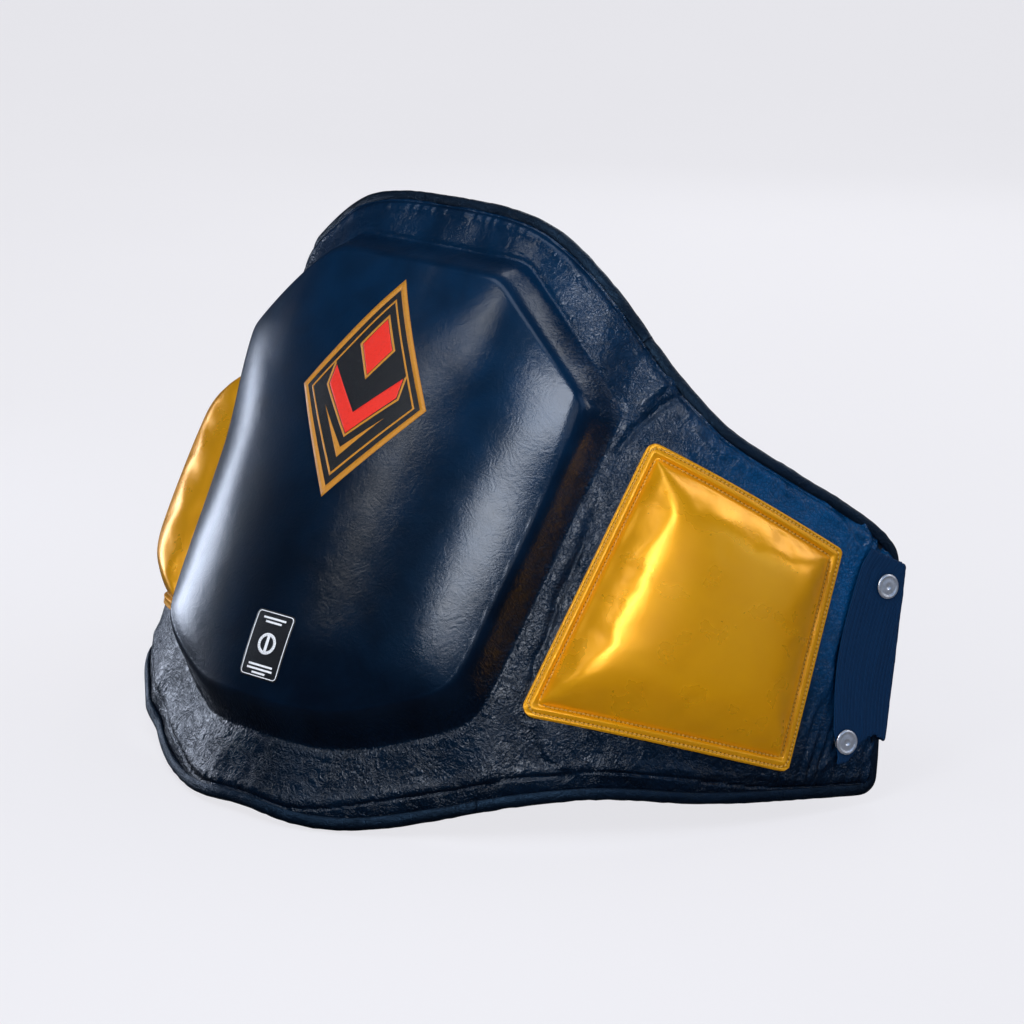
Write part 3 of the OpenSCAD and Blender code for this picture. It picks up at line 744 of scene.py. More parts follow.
def pebble_amount(arc, z):
    "smooth on the block and on the stretched leather above it"
    above = ease((z - 95) / 50.0) * (1 - ease((np.abs(arc) - 85) / 40.0))
    block = ease((block_distance(arc, z) + RUN - 2) / 14.0)
    return (1 - block * 0.92) * (1 - 0.75 * above)


def painted_blue_light_amount(arc, z):
    """painted blue light: bluer towards the wing ends and the top, where blue light falls"""
    wing = ease((np.abs(arc) - 165) / 130.0) * ease((z + 75) / 120.0)
    return np.clip(0.20 * ease((z + 60) / 220.0) + 0.80 * wing, 0, 1)


def body_grid(rows, columns):
    across, up = lattice(rows, columns)
    arc = mix(-SEAM, SEAM, across)
    return arc, mix(low_z(arc), top_z(arc), up)


def wing_at(across, up):
    "arc, z on the right wing: across 0..1 from seam to slanted end, corners rounded"
    straight = mix(SEAM, REACH, across)
    z = mix(low_z(straight), top_z(np.minimum(straight, 350)), up)
    arc = straight - across * across * SLANT * z
    height = top_z(arc) - low_z(arc)
    arc = arc - across**10 * (fillet(height * (1 - up)) + fillet(height * up))
    return arc, mix(low_z(arc), top_z(arc), up)


def wing_grid(rows, columns, sign):
    arc, z = wing_at(*lattice(rows, columns))
    return (arc, z) if sign > 0 else (-arc[::-1], z[::-1])


def build_cover(name, arc, z):
    piece = build_shell(name, arc, z, front_outer, front_inner, NAVY)
    add_attribute(piece, "grain", pebble_amount(arc, z))
    # where the painted blue light goes
    add_attribute(piece, "blue", painted_blue_light_amount(arc, z))
    return piece


def build_lining(name, arc, z):
    return build_shell(name, arc, z, back_outer, back_inner, LINING, flip=True)


def build_body():
    rows, columns = int(2 * SEAM / MESH_STEP) + 1, int(385 / MESH_STEP)
    attach(build_cover("front_cover_leather", *body_grid(rows, columns)), "core", "leather_navy",
           "front_cover", "core_foam", "strike_foam_inner", "strike_foam_outer")
    attach(build_lining("back_lining_leather", *body_grid(rows // 2, columns // 2)),
           "core", "leather_black", "back_lining")


def build_wing(sign, side):
    rows, columns = int(225 / MESH_STEP) + 1, int(190 / MESH_STEP) + 1
    cover = build_cover("wing_cover_leather_" + side, *wing_grid(rows, columns, sign))
    attach_wing(cover, sign, side, "leather_navy", "wing_cover_" + side, "wing_foam_" + side)
    lining = build_lining("wing_lining_leather_" + side,
                          *wing_grid(rows // 2, columns // 2, sign))
    attach_wing(lining, sign, side, "leather_black", "wing_lining_" + side)


build_body()
for sign, side in SIDES:
    build_wing(sign, side)

# ============================================================ edge binding
# profile of the folded strip: distance beyond the edge, side (+1 front, -1 back), offset
BINDING_FRONT = [(-4.1, 1, -0.7), (-3.9, 1, 0.25), (-3.3, 1, 0.75), (-2.2, 1, 1.05),
                 (-0.8, 1, 1.15), (0.7, 1, 0.95), (1.9, 1, 0.35), (2.65, 1, -0.5)]
BINDING_EDGE = [(3.0, 0.45, 0), (3.0, 0, 0), (3.0, -0.45, 0)]
BINDING_INSIDE = [(-3.6, -1, 0.9), (1.2, -1, 0.6), (1.4, 0, 0), (1.2, 1, -0.6), (-3.6, 1, -0.9)]
BINDING_PROFILE = (BINDING_FRONT + BINDING_EDGE
                   + [(beyond, -face, -offset) for beyond, face, offset in BINDING_FRONT[::-1]]
                   + BINDING_INSIDE)


def build_binding(name, path):
    "path: arc, z points with the outside on the left of its direction"
    lengths = path_lengths(path)
    along = np.linspace(0, lengths[-1], int(lengths[-1] / 1.5))
    path = path_at(path, lengths, along)
    tangent = unit(np.gradient(path, axis=0))
    for _ in range(3):
        tangent[1:-1] = unit(tangent[:-2] + 2 * tangent[1:-1] + tangent[2:])
    outward = np.stack([-tangent[:, 1], tangent[:, 0]], -1)
    thick = thickness(path[:, 0])
    front, back = -0.10 * thick, -0.55 * thick
    middle, half = (front + back) / 2, (front - back) / 2
    # the outermost edge wanders a little, with a knot every 4 mm
    knots = np.arange(0, along[-1] + 8, 4)
    wander = np.random.default_rng(len(name)).standard_normal(len(knots))
    wander = 0.12 * np.interp(along, knots, wander)[:, None]
    lines = []
    for beyond, face, offset in BINDING_PROFILE:
        place = path + outward * (beyond + (wander if beyond > 2.5 else 0))
        lines.append(skin(place[:, 0], place[:, 1], middle + half * face + offset))
    points = np.stack(lines, 1)
    rows, columns = points.shape[:2]
    faces = list(grid_faces(rows, columns, flip=True, wrap=True))
    faces += [range(columns), range(rows * columns - 1, (rows - 1) * columns - 1, -1)]
    steps = np.diff([entry[0] for entry in BINDING_PROFILE])
    around = np.concatenate([[0], np.cumsum(np.hypot(steps, 1.0))])
    uv = np.stack(np.meshgrid(along, around, indexing="ij"), -1).reshape(-1, 2)
    return build(name, points.reshape(-1, 3), faces, BINDING, uv)


def wing_edge(sign):
    "top edge, wing end and lower edge of a wing"
    part = np.linspace(0, 1, 400)
    top = np.stack(wing_at(part, 1.0), -1)
    end = np.stack(wing_at(1.0, part[::-1]), -1)
    low = np.stack(wing_at(part[::-1], 0.0), -1)
    path = np.concatenate([top, end[1:], low[1:]])
    return path if sign > 0 else path[::-1] * [-1, 1]


body_arcs = np.linspace(-SEAM, SEAM, 400)
attach(build_binding("top_binding_leather", np.stack([body_arcs, top_z(body_arcs)], -1)),
       "core", "leather_navy", "top_binding")
attach(build_binding("bottom_binding_leather",
                     np.stack([body_arcs, low_z(body_arcs)], -1)[::-1]),
       "core", "leather_navy", "bottom_binding")
for sign, side in SIDES:
    attach_wing(build_binding("wing_binding_leather_" + side, wing_edge(sign)),
                sign, side, "leather_navy", "wing_binding_" + side)

# ============================================================ gold side pads
# outer corners of the right pad (arc, z), counter-clockwise
PAD_CORNERS = np.array([(154, -93.5), (321, -68.5), (306, 67.5), (172, 86)], float)
PAD_CENTRE = PAD_CORNERS.mean(0)
BORDER = 8.6                       # flat border around the cushion
STITCH_ROWS = ((2.4, 6.4), (7.9, 5.0))     # inset of the row, its corner radius
PAD_LIFT = 0.35                    # pad surface above the wing leather
# insets of the mesh rings, from the pad's edge in
RING_INSETS = (0.0, 0.35, 0.8, 1.3, 1.8, 2.3, 2.8, 3.4, 4.0, 4.6, 5.2, 5.8, 6.3, 6.8,
               7.3, 7.8, 8.3, 8.9, 9.6, 10.4, 11.3, 12.4, 13.8, 15.5, 17.5, 20, 23)
STITCH_PITCH, STITCH_LENGTH, STITCH_RADIUS = 2.6, 1.75, 0.46
THREAD_SEGMENTS, THREAD_SIDES, HOLE_SIDES = 5, 6, 8
CLOTH = dict(
    quality=8, mass=0.25, tension_stiffness=25, compression_stiffness=25, shear_stiffness=14,
    bending_stiffness=2.0, tension_damping=14, compression_damping=14, shear_damping=10,
    bending_damping=1.5, air_damping=3, vertex_group_mass="pin", pin_stiffness=1.0,
    use_pressure=True, shrink_min=-0.014, shrink_max=-0.014)
CLOTH_PRESSURE = 1.6


def pad_inset(distance):
    "pad corners moved in from all four edges"
    corners = []
    for i in range(4):
        corner = PAD_CORNERS[i]
        before, after = unit(corner - PAD_CORNERS[i - 1]), unit(PAD_CORNERS[(i + 1) % 4] - corner)
        normal = np.array([-before[1], before[0]])
        both = normal + np.array([-after[1], after[0]])
        corners.append(corner + both * distance / (both @ normal))
    return np.array(corners)


def rounded(corners, radius, edge_points=64, arc_points=9):
    "closed rounded quad: same count and order of points for any corner radius"
    starts, ends, bends = [], [], []
    for i in range(4):
        corner = corners[i]
        before, after = unit(corners[i - 1] - corner), unit(corners[(i + 1) % 4] - corner)
        half = math.acos(np.clip(before @ after, -1, 1)) / 2
        trim = radius / math.tan(half)
        centre = corner + unit(before + after) * (radius / math.sin(half))
        starts.append(corner + before * trim)
        ends.append(corner + after * trim)
        first = math.atan2(*(starts[i] - centre)[::-1])
        turn = math.atan2(*(ends[i] - centre)[::-1]) - first
        turn = (turn + math.pi) % (2 * math.pi) - math.pi
        angles = [first + turn * k / arc_points for k in range(arc_points)]
        bends.append([centre + radius * np.array([math.cos(angle), math.sin(angle)])
                      for angle in angles])
    points = []
    for i in range(4):
        points += bends[i]
        points += [mix(ends[i], starts[(i + 1) % 4], k / edge_points) for k in range(edge_points)]
    return np.array(points)


def pad_distances(x, y):
    "distances inside the four edges, (4, ...)"
    distances = []
    for corner, following in zip(PAD_CORNERS, np.roll(PAD_CORNERS, -1, axis=0)):
        along = unit(following - corner)
        distances.append((x - corner[0]) * -along[1] + (y - corner[1]) * along[0])
    return np.array(distances)


def cushion_height(x, y):
    inside = np.maximum(pad_distances(x, y) - BORDER + 0.2, 0.02)
    inside = (inside ** -2.4).sum(0) ** (-1 / 2.4)     # smooth everywhere, small near any edge
    shoulder = np.clip(inside / 25.0, 0, 1)
    crown = np.clip(inside / 42.0, 0, 1)
    return 11.6 * (1 - (1 - shoulder) ** 2.6) + 5.4 * (1 - (1 - crown) ** 2)


def border_height(x, y):
    edge = pad_distances(x, y).min(0)
    height = 1.9 * np.clip(edge / 1.0, 0, 1) ** 0.5                    # turned edge
    height = height - 0.60 * bell(edge - STITCH_ROWS[0][0], 0.75)      # stitch grooves
    height = height - 0.75 * bell(edge - STITCH_ROWS[1][0], 0.80)
    return height + 1.15 * bell(edge - 5.2, 1.35)                      # welt between the rows


def pad_ground(arc, z):
    "height of the wing leather under the pad, smoothed"
    return 0.15 * noise(arc, z, 40, 61)


def place_in_quad(x, y, corners):
    "place in the quad, 0..1 both ways: Newton steps on the inverse bilinear map"
    across = np.full(np.shape(x), 0.5)
    up = np.full(np.shape(x), 0.5)
    for _ in range(14):
        (miss_x, across_x, up_x), (miss_y, across_y, up_y) = (
            (bilinear(across, up, *c) - target,
             (1 - up) * (c[1] - c[0]) + up * (c[2] - c[3]),
             (1 - across) * (c[3] - c[0]) + across * (c[2] - c[1]))
            for c, target in zip(corners.T, (x, y)))
        area = across_x * up_y - across_y * up_x
        across = across - (miss_x * up_y - miss_y * up_x) / area
        up = up - (miss_y * across_x - miss_x * across_y) / area
    return np.clip(across, 0, 1), np.clip(up, 0, 1)


def run_cloth(points, count, pinned):
    "points of a count x count sheet after 30 frames of pressure from inside"
    mesh = bpy.data.meshes.new("pad_sim")
    mesh.from_pydata((points / 1000).tolist(), [],
                     [list(map(int, face)) for face in grid_faces(count, count)])
    mesh.update()
    sheet = bpy.data.objects.new("pad_sim", mesh)
    bpy.context.scene.collection.objects.link(sheet)
    group = sheet.vertex_groups.new(name="pin")
    group.add([int(i) for i in np.nonzero(pinned)[0]], 1.0, "REPLACE")
    cloth = sheet.modifiers.new("cloth", "CLOTH")
    for key, value in CLOTH.items():
        setattr(cloth.settings, key, value)
    outward = 1 if mesh.polygons[0].normal.z > 0 else -1
    cloth.settings.uniform_pressure_force = CLOTH_PRESSURE * outward
    cloth.settings.effector_weights.gravity = 0
    cloth.collision_settings.use_self_collision = False
    cloth.collision_settings.use_collision = False
    cloth.point_cache.frame_start = 1
    cloth.point_cache.frame_end = 40
    scene = bpy.context.scene
    for frame_number in range(1, 31):
        scene.frame_set(frame_number)
    settled = sheet.evaluated_get(bpy.context.evaluated_depsgraph_get()).to_mesh()
    moved = np.zeros(len(points) * 3)
    settled.vertices.foreach_get("co", moved)
    scene.frame_set(1)
    bpy.data.objects.remove(sheet)
    bpy.data.meshes.remove(mesh)
    return moved.reshape(-1, 3) * 1000


def cushion_movement(x, y, seed):
    "how the leather at x, y moves when pressed out, its border held by the stitching"
    corners = pad_inset(BORDER - 0.4)
    count = 62
    across, up = lattice(count, count)
    grid_x = bilinear(across, up, *corners[:, 0])
    grid_y = bilinear(across, up, *corners[:, 1])
    rim = np.minimum.reduce([across, up, 1 - across, 1 - up])
    uneven = 0.25 * noise(grid_x, grid_y, 14, seed) * np.clip(rim * 20, 0, 1)
    start = np.stack([grid_x, grid_y, cushion_height(grid_x, grid_y) + uneven], -1).reshape(-1, 3)
    move = run_cloth(start, count, (rim < 0.5 / count).ravel()) - start
    # stuffed leather moves less than a free sheet
    size = np.linalg.norm(move, axis=1, keepdims=True)
    move = (move * 4.5 / (4.5 + size)).reshape(count, count, 3)
    for _ in range(2):
        beside = move[:-2, 1:-1] + move[2:, 1:-1] + move[1:-1, :-2] + move[1:-1, 2:]
        smoothed = move.copy()
        smoothed[1:-1, 1:-1] = 0.4 * move[1:-1, 1:-1] + 0.15 * beside
        move = smoothed
    across, up = (part * (count - 1) for part in place_in_quad(x, y, corners))
    i = np.minimum(across.astype(int), count - 2)
    j = np.minimum(up.astype(int), count - 2)
    return bilinear((across - i)[:, None], (up - j)[:, None],
                    move[i, j], move[i + 1, j], move[i + 1, j + 1], move[i, j + 1])


def pad_plan():
    "rings from the outer edge in to the centre point: points, faces and points per ring"
    rings = [rounded(pad_inset(inset), max(2.4, 7.0 - inset * 0.25)) for inset in RING_INSETS]
    last = rings[-1]
    for scale in np.linspace(1, 0, 21)[1:-1]:
        rings.append(PAD_CENTRE + (last - PAD_CENTRE) * scale)
    count, size = len(rings), len(last)
    inner, centre = (count - 1) * size, count * size
    faces = [list(face) for face in grid_faces(count, size, wrap=True)]
    faces += [[inner + j, centre, inner + (j + 1) % size] for j in range(size)]
    return np.concatenate(rings + [[PAD_CENTRE]]), faces, size


def build_side_pad(sign, side, plan, faces, ring_size):
    x, y = plan.T
    edge = pad_distances(x, y).min(0)
    height = border_height(x, y) + cushion_height(x, y)
    if sign < 0:
        height = height - 0.06 * cushion_height(x, y)  # the left cushion is a little flatter
    points = np.stack([x, y, height], -1)
    points += cushion_movement(x, y, 70 + sign) * ease((edge - BORDER) / 4.0)[:, None]
    # soft creases that run in from the corners and the stitching
    x, y = points[:, 0], points[:, 1]
    creased = ease((edge - BORDER) / 5.0) * (1 - ease((edge - BORDER) / 30.0))
    points[:, 2] += creased * (0.16 * noise(x * 2.2, y * 2.2, 14, 80 + sign))
    arc = x * sign
    ground = pad_ground(arc, y)
    upper = skin(arc, y, ground + PAD_LIFT + points[:, 2])
    under = skin(arc, y, ground + 0.15)
    total = len(upper)
    rim = [[j, total + j, total + (j + 1) % ring_size, (j + 1) % ring_size]
           for j in range(ring_size)]
    if sign < 0:
        faces = [face[::-1] for face in faces]
        rim = [face[::-1] for face in rim]
    bottom = [[i + total for i in face[::-1]] for face in faces]
    uv = np.concatenate([np.stack([arc, y], -1)] * 2)
    piece = build("side_pad_leather_" + side, np.concatenate([upper, under]),
                  faces + bottom + rim, GOLD, uv)
    add_attribute(piece, "grain", 1 - ease((edge - BORDER + 2.0) / 5.0))
    attach(piece, "wing_" + side, "leather_gold", "side_pad_cover_" + side,
           "side_pad_foam_" + side)


def build_stitches(name, path, sign):
    """raised threads along a closed path, with a needle hole after each, shown as a dark disc of
    painted shade
    """
    lengths = path_lengths(path)
    total = lengths[-1]
    count = int(total / STITCH_PITCH)
    middles = (np.arange(count) + 0.5) * total / count
    random = np.random.default_rng(len(name) + count)
    lifts = np.array([-0.75, 0.2, 0.45, 0.2, -0.75]) * STITCH_RADIUS * 1.3
    radii = STITCH_RADIUS * np.array([0.55, 0.95, 1.0, 0.95, 0.55])
    points = []                    # x, y, lift, and the x, y where the pad's height is read
    threads, hole_shade_faces = [], []
    for middle in middles:
        half = STITCH_LENGTH * (1 + 0.06 * random.standard_normal()) / 2
        skew = 0.10 * random.standard_normal()
        line = path_at(path, lengths, middle + np.linspace(-half, half, THREAD_SEGMENTS))
        along_x, along_y = unit(line[-1] - line[0])
        shift = np.linspace(-skew - 0.16, skew + 0.16, THREAD_SEGMENTS)
        line = line + np.outer(shift, (-along_y, along_x))
        first = len(points)
        for (x, y), lift, radius in zip(line, lifts, radii):
            for j in range(THREAD_SIDES):
                angle = 2 * math.pi * j / THREAD_SIDES
                beside = math.cos(angle) * radius
                points.append((x - along_y * beside, y + along_x * beside,
                               lift + math.sin(angle) * radius, x, y))
        for i in range(THREAD_SEGMENTS - 1):
            for j in range(THREAD_SIDES):
                here = first + i * THREAD_SIDES + j
                beside = first + i * THREAD_SIDES + (j + 1) % THREAD_SIDES
                threads.append([here, beside, beside + THREAD_SIDES, here + THREAD_SIDES])
        last = first + (THREAD_SEGMENTS - 1) * THREAD_SIDES
        threads.append([first + j for j in range(THREAD_SIDES)][::-1])
        threads.append([last + j for j in range(THREAD_SIDES)])
    # a dark disc of painted shade in each needle hole
    for middle in middles:
        spot = (middle + total / count / 2) % total
        x, y = path_at(path, lengths, spot)
        ahead_x, ahead_y = path_at(path, lengths, min(spot + 0.2, total))
        along_x, along_y = ahead_x - x, ahead_y - y
        size = max(math.hypot(along_x, along_y), 1e-9)
        along_x, along_y = along_x / size, along_y / size
        first = len(points)
        for j in range(HOLE_SIDES):
            angle = 2 * math.pi * j / HOLE_SIDES
            ahead, beside = 0.50 * math.cos(angle), 0.85 * math.sin(angle)
            rim_x = x + along_x * ahead - along_y * beside
            rim_y = y + along_y * ahead + along_x * beside
            points.append((rim_x, rim_y, -0.06, rim_x, rim_y))
            hole_shade_faces.append([first + j, first + (j + 1) % HOLE_SIDES, first + HOLE_SIDES])
        points.append((x, y, -0.30, x, y))
    x, y, lift, read_x, read_y = np.array(points).T
    ground = PAD_LIFT + pad_ground(read_x * sign, read_y) + border_height(read_x, read_y)
    if sign > 0:
        threads = [face[::-1] for face in threads]
    else:
        hole_shade_faces = [face[::-1] for face in hole_shade_faces]
    return build(name, skin(x * sign, y, ground + 0.14 + lift), threads + hole_shade_faces, [THREAD, NEEDLE_HOLE_SHADE],
                 np.stack([x, y], -1), face_slots=[0] * len(threads) + [1] * len(hole_shade_faces))


plan = pad_plan()
for sign, side in SIDES:
    build_side_pad(sign, side, *plan)
for sign, side in SIDES:
    for number, (inset, radius) in enumerate(STITCH_ROWS, 1):
        loop = rounded(pad_inset(inset), radius)
        loop = np.concatenate([loop, loop[:1]])
        attach(build_stitches("side_pad_stitch_%d_%s" % (number, side), loop, sign),
               "wing_" + side, "leather_gold")


# ============================================================ badge and label
def build_decal(name, grids, material, lift):
    "thin print laid on the strike block, from grids of arc, z"
    slabs = []
    for grid in grids:
        arc, z = grid[..., 0], grid[..., 1]
        out = front_offset(arc, z)
        along, beside = grid[1, 0] - grid[0, 0], grid[0, 1] - grid[0, 0]
        flip = along[0] * beside[1] - along[1] * beside[0] < 0
        slabs.append((skin(arc, z, out + lift), skin(arc, z, out - 0.05), grid, flip))
    return build_slabs(name, slabs, material)


def band(outer, inner, step):
    "grid between two outlines with matching corners"
    lines = []
    for i in range(len(outer) - 1):
        count = max(1, int(np.hypot(*(outer[i + 1] - outer[i])) / step))
        for k in range(count):
            lines.append([mix(outer[i], outer[i + 1], k / count),
                          mix(inner[i], inner[i + 1], k / count)])
    lines.append([outer[-1], inner[-1]])
    return np.array(lines)


def chevron(upper, lower, count, width):
    "grid between two runs, each given by its left half and mirrored about arc 0"
    runs = []
    for half in (upper, lower):
        points = np.array(half + [(-x, z) for x, z in half[-2::-1]], float)
        lengths = path_lengths(points)
        stops = np.linspace(0, 1, count) * lengths[-1]
        stops = np.sort(np.concatenate([stops, lengths[1:-1]]))
        runs.append(path_at(points, lengths, stops)[:, None])
    return mix(*runs, np.linspace(0, 1, width)[None, :, None])


def kite(top, half_width, waist, low):
    return np.array([(0, top), (-half_width, waist), (0, low), (half_width, waist), (0, top)],
                    float)


def kite_band(outer, inner):
    return band(kite(*outer), kite(*inner), step=1.6)


def kite_fill(top, half_width, waist, low, rows, columns):
    z = np.concatenate([np.linspace(low, waist, rows // 2), np.linspace(waist, top, rows)[1:]])
    half = np.where(z < waist, half_width * (z - low) / (waist - low),
                    half_width * (top - z) / (top - waist))
    half = np.maximum(half, 0.02)
    return np.stack([half[:, None] * np.linspace(-1, 1, columns)[None],
                     np.repeat(z[:, None], columns, 1)], -1)


def rectangle(x0, z0, x1, z1, radius=0.0, count=8):
    x = np.linspace(x0, x1, count)
    cut = fillet(np.minimum(x - x0, x1 - x), radius)[:, None]
    z = mix(z0 + cut, z1 - cut, np.linspace(0, 1, count)[None])
    return np.stack([np.repeat(x[:, None], count, 1), z], -1)


def rounded_outline(x0, z0, x1, z1, radius):
    centres = ((x1 - radius, z1 - radius), (x0 + radius, z1 - radius),
               (x0 + radius, z0 + radius), (x1 - radius, z0 + radius))
    points = []
    for i, (x, z) in enumerate(centres):
        for k in range(9):
            angle = math.radians(i * 90 + k * 90 / 8)
            points.append((x + radius * math.cos(angle), z + radius * math.sin(angle)))
    return np.array(points + points[:1])


def build_badge():
    "kites are top z, half width, waist z, low z"
    attach(build_decal("badge_field_print", [kite_fill(130, 45, 57.8, -4.2, rows=60, columns=40)],
                       PRINT_BLACK, lift=0.07), "core", "label_black")
    gold = [
        kite_band((134, 47, 58, -8), (126.6, 43.0, 57.7, -0.9)),
        kite_band((120.5, 39.3, 57.4, 5.4), (118.2, 37.9, 57.3, 7.8)),
        chevron([(-22.5, 47.5), (0, 24)], [(-18.5, 42.5), (0, 17.5)], count=40, width=5),
        chevron([(-27.4, 76.8), (-27.4, 60), (0, 30.4)],
                [(-26.0, 74.0), (-26.0, 60.6), (0, 32.4)], count=70, width=3),
        kite_band((110.2, 13.4, 88.8, 67.6), (107.4, 11.6, 88.8, 70.4)),
    ]
    attach(build_decal("badge_gold_print", gold, PRINT_GOLD, lift=0.13),
           "core", "print_gold", "badge_gold")
    red = [
        chevron([(-25.4, 73.4), (0, 46.5)], [(-25.4, 61), (0, 33)], count=60, width=10),
        kite_fill(106.8, 11.2, 88.8, 71.0, rows=40, columns=16),
    ]
    attach(build_decal("badge_red_print", red, PRINT_RED, lift=0.14),
           "core", "print_red", "badge_red")


LABEL_HALF, LABEL_LOW, LABEL_TOP = 14.4, -123.2, -82.0
LABEL_MARGIN, LABEL_LINE = 0.9, 0.55       # inset and width of the white frame
LABEL_CORNER = 2.4                         # outer corner radius of the white frame
LABEL_BARS = ((8.5, -87.2), (6, -89.6), (9, -116.0), (9.5, -118.4), (5, -120.8))  # half, low z
BAR_HEIGHT = 1.2
RING_Z, RING_OUTER, RING_INNER = -102, 6.6, 4.7


def label_frame(inset, radius):
    return rounded_outline(-LABEL_HALF + inset, LABEL_LOW + inset,
                           LABEL_HALF - inset, LABEL_TOP - inset, radius)


def build_label():
    patch = rectangle(-LABEL_HALF, LABEL_LOW, LABEL_HALF, LABEL_TOP, radius=3.0, count=26)
    attach(build_decal("label_patch_black", [patch], PRINT_BLACK, lift=0.28),
           "core", "label_black", "label_patch")
    white = [band(label_frame(LABEL_MARGIN, LABEL_CORNER),
                  label_frame(LABEL_MARGIN + LABEL_LINE, LABEL_CORNER - LABEL_LINE), step=1.2)]
    for half, low in LABEL_BARS:
        white.append(rectangle(-half, low, half, low + BAR_HEIGHT))
    # plain glyph: a ring with an upright bar through it
    for k in range(24):
        angles = (2 * math.pi * k / 24, 2 * math.pi * (k + 1) / 24)
        white.append(np.array([[(radius * math.cos(angle), RING_Z + radius * math.sin(angle))
                                for radius in (RING_OUTER, RING_INNER)] for angle in angles]))
    white.append(rectangle(-1.0, RING_Z - 5.5, 1.0, RING_Z + 5.5))
    attach(build_decal("label_print_white", white, PRINT_WHITE, lift=0.36),
           "core", "label_black")


build_badge()
build_label()

# ============================================================ snaps
SNAPS = ((341.6, 58.0), (351.0, -38.0))    # arc, z
SNAP_TURN_ARC = (SNAPS[0][0] + SNAPS[1][0]) / 2    # both snaps face as the section does here
TAB_GAP, TAB_T = 1.1, 2.0                  # tab above the wing, tab thickness
# radius, height of the cap above the tab, from the underside's centre round to the top's
CAP_PROFILE = [(0.02, 0.0), (6.9, 0.0), (7.3, 0.12), (7.5, 0.45), (7.42, 0.85), (7.1, 1.2),
               (6.6, 1.42), (6.1, 1.45), (5.75, 1.3), (5.5, 1.05), (5.2, 0.95), (4.4, 1.0),
               (3.2, 1.12), (2.2, 1.18), (1.7, 1.12), (1.35, 0.9), (0.9, 0.78), (0.02, 0.75)]
CAP_SEGMENTS = 72


def build_snap_caps(sign, side):
    turn = section_at(SNAP_TURN_ARC)[2]
    along = tilt(np.array([math.cos(turn), math.sin(turn), 0.0]))
    outward = tilt(np.array([math.sin(turn), -math.cos(turn), 0.0]))
    upward = tilt(np.array([0, 0, 1.0]))
    angles = 2 * math.pi * np.arange(CAP_SEGMENTS)[:, None] / CAP_SEGMENTS
    circle = along * np.cos(angles) + upward * np.sin(angles)
    points, faces = [], []
    for arc, z in SNAPS:
        centre = skin(arc, z, 0.0) + outward * (TAB_GAP + TAB_T + 0.5)
        faces.append(grid_faces(len(CAP_PROFILE), CAP_SEGMENTS, len(points) * CAP_SEGMENTS,
                                flip=sign > 0, wrap=True))
        points += [centre + circle * radius + outward * height for radius, height in CAP_PROFILE]
    piece = build("snap_cap_metal_" + side, np.concatenate(points) * [sign, 1, 1],
                  np.concatenate(faces), STEEL)
    attach(piece, "tab_" + side, "steel", "snap_caps_" + side)


for sign, side in SIDES:
    build_snap_caps(sign, side)

# ============================================================ end tabs
HINGE_BEYOND, HINGE_OUT = 6.0, -6.0        # strap root: past the wing end, and its out
TAB_TOP, TAB_LOW = 75.0, (-52.0, -27.0)    # z of the top edge; of the low edge, inner to outer
TAB_BEND = 4.0                             # radius where the tab turns back
# height above the tab's lowest corner, arc of its inner edge
tab_inner_arc = hermite([(0, 350.5), (20, 339.5), (60, 326.0), (113, 320.5), (127, 323.0)])


def tab_line(part, z):
    "mid line at part 0..1 along the tab: past the wing end, out, turn, length so far"
    inner = end_arc(z) - tab_inner_arc(z - TAB_LOW[0])
    out = TAB_GAP + TAB_T / 2
    flat = inner + HINGE_BEYOND - TAB_BEND
    bend = TAB_BEND * math.pi / 2
    drop = (out - (HINGE_OUT + 1.8)) - TAB_BEND
    length = part * (flat + bend + drop)
    turn = np.clip((length - flat) / TAB_BEND, 0, math.pi / 2)
    bent = HINGE_BEYOND - TAB_BEND + TAB_BEND * np.sin(turn)
    beyond = np.where(length < flat, -inner + length, bent)
    bent = out - TAB_BEND + TAB_BEND * np.cos(turn)
    out = np.where(length < flat, out, bent) - np.maximum(0, length - flat - bend)
    return beyond, out, turn, length


def build_tab(sign, side):
    part, up = lattice(*(((170, 190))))
    low = mix(TAB_LOW[0], TAB_LOW[1], ease(part * 1.35))
    fray = 0.5 * noise(part * 60, 3.0, 2.2, 91) + 0.35 * noise(part * 60, 3.0, 0.9, 92)
    z = mix(low + fray, TAB_TOP + fray * 0.6, up)
    beyond, out, turn, length = tab_line(part, z)
    edge = np.minimum(up, 1 - up) * (TAB_TOP - low)
    half = TAB_T / 2 * np.sqrt(np.clip(edge / 1.3, 0.05, 1))
    half = half * np.sqrt(np.clip(length / 1.2, 0.08, 1))
    # ribs and folds die out around the snaps
    arc = end_arc(z) + beyond
    near = np.minimum.reduce([np.hypot(arc - snap_arc, z - snap_z) for snap_arc, snap_z in SNAPS])
    calm = 1 - np.exp(-(near / 10.0) ** 4)
    ribs = np.abs(np.sin(math.pi * (length + 0.9 * noise(length, z, 30, 35)) / 2.6))
    ribs = 0.24 * ribs + 0.10 * noise(length * 3, z * 0.4, 7, 31)
    folds = 0.55 * noise(length * 1.5, z * 0.25, 9, 33) + 0.25 * noise(length * 3.0, z * 0.2, 9, 34)
    folds = folds * np.clip(length / 5, 0, 1) * calm
    out = out + np.maximum(folds, -0.5) * np.cos(turn)
    bow = 0.5 * noise(z, 0.0, 14, 36) + 0.22 * noise(z, 0.0, 3.0, 37)

    def surface(offset):
        return skin((arc + (bow + offset) * np.sin(turn)) * sign, z, out + offset * np.cos(turn))
    slab = (surface(half + ribs * calm), surface(-half), np.stack([length, z], -1), sign < 0)
    attach(build_slabs("end_tab_webbing_" + side, [slab], WEBBING),
           "tab_" + side, "webbing", "end_tab_" + side)


for sign, side in SIDES:
    build_tab(sign, side)

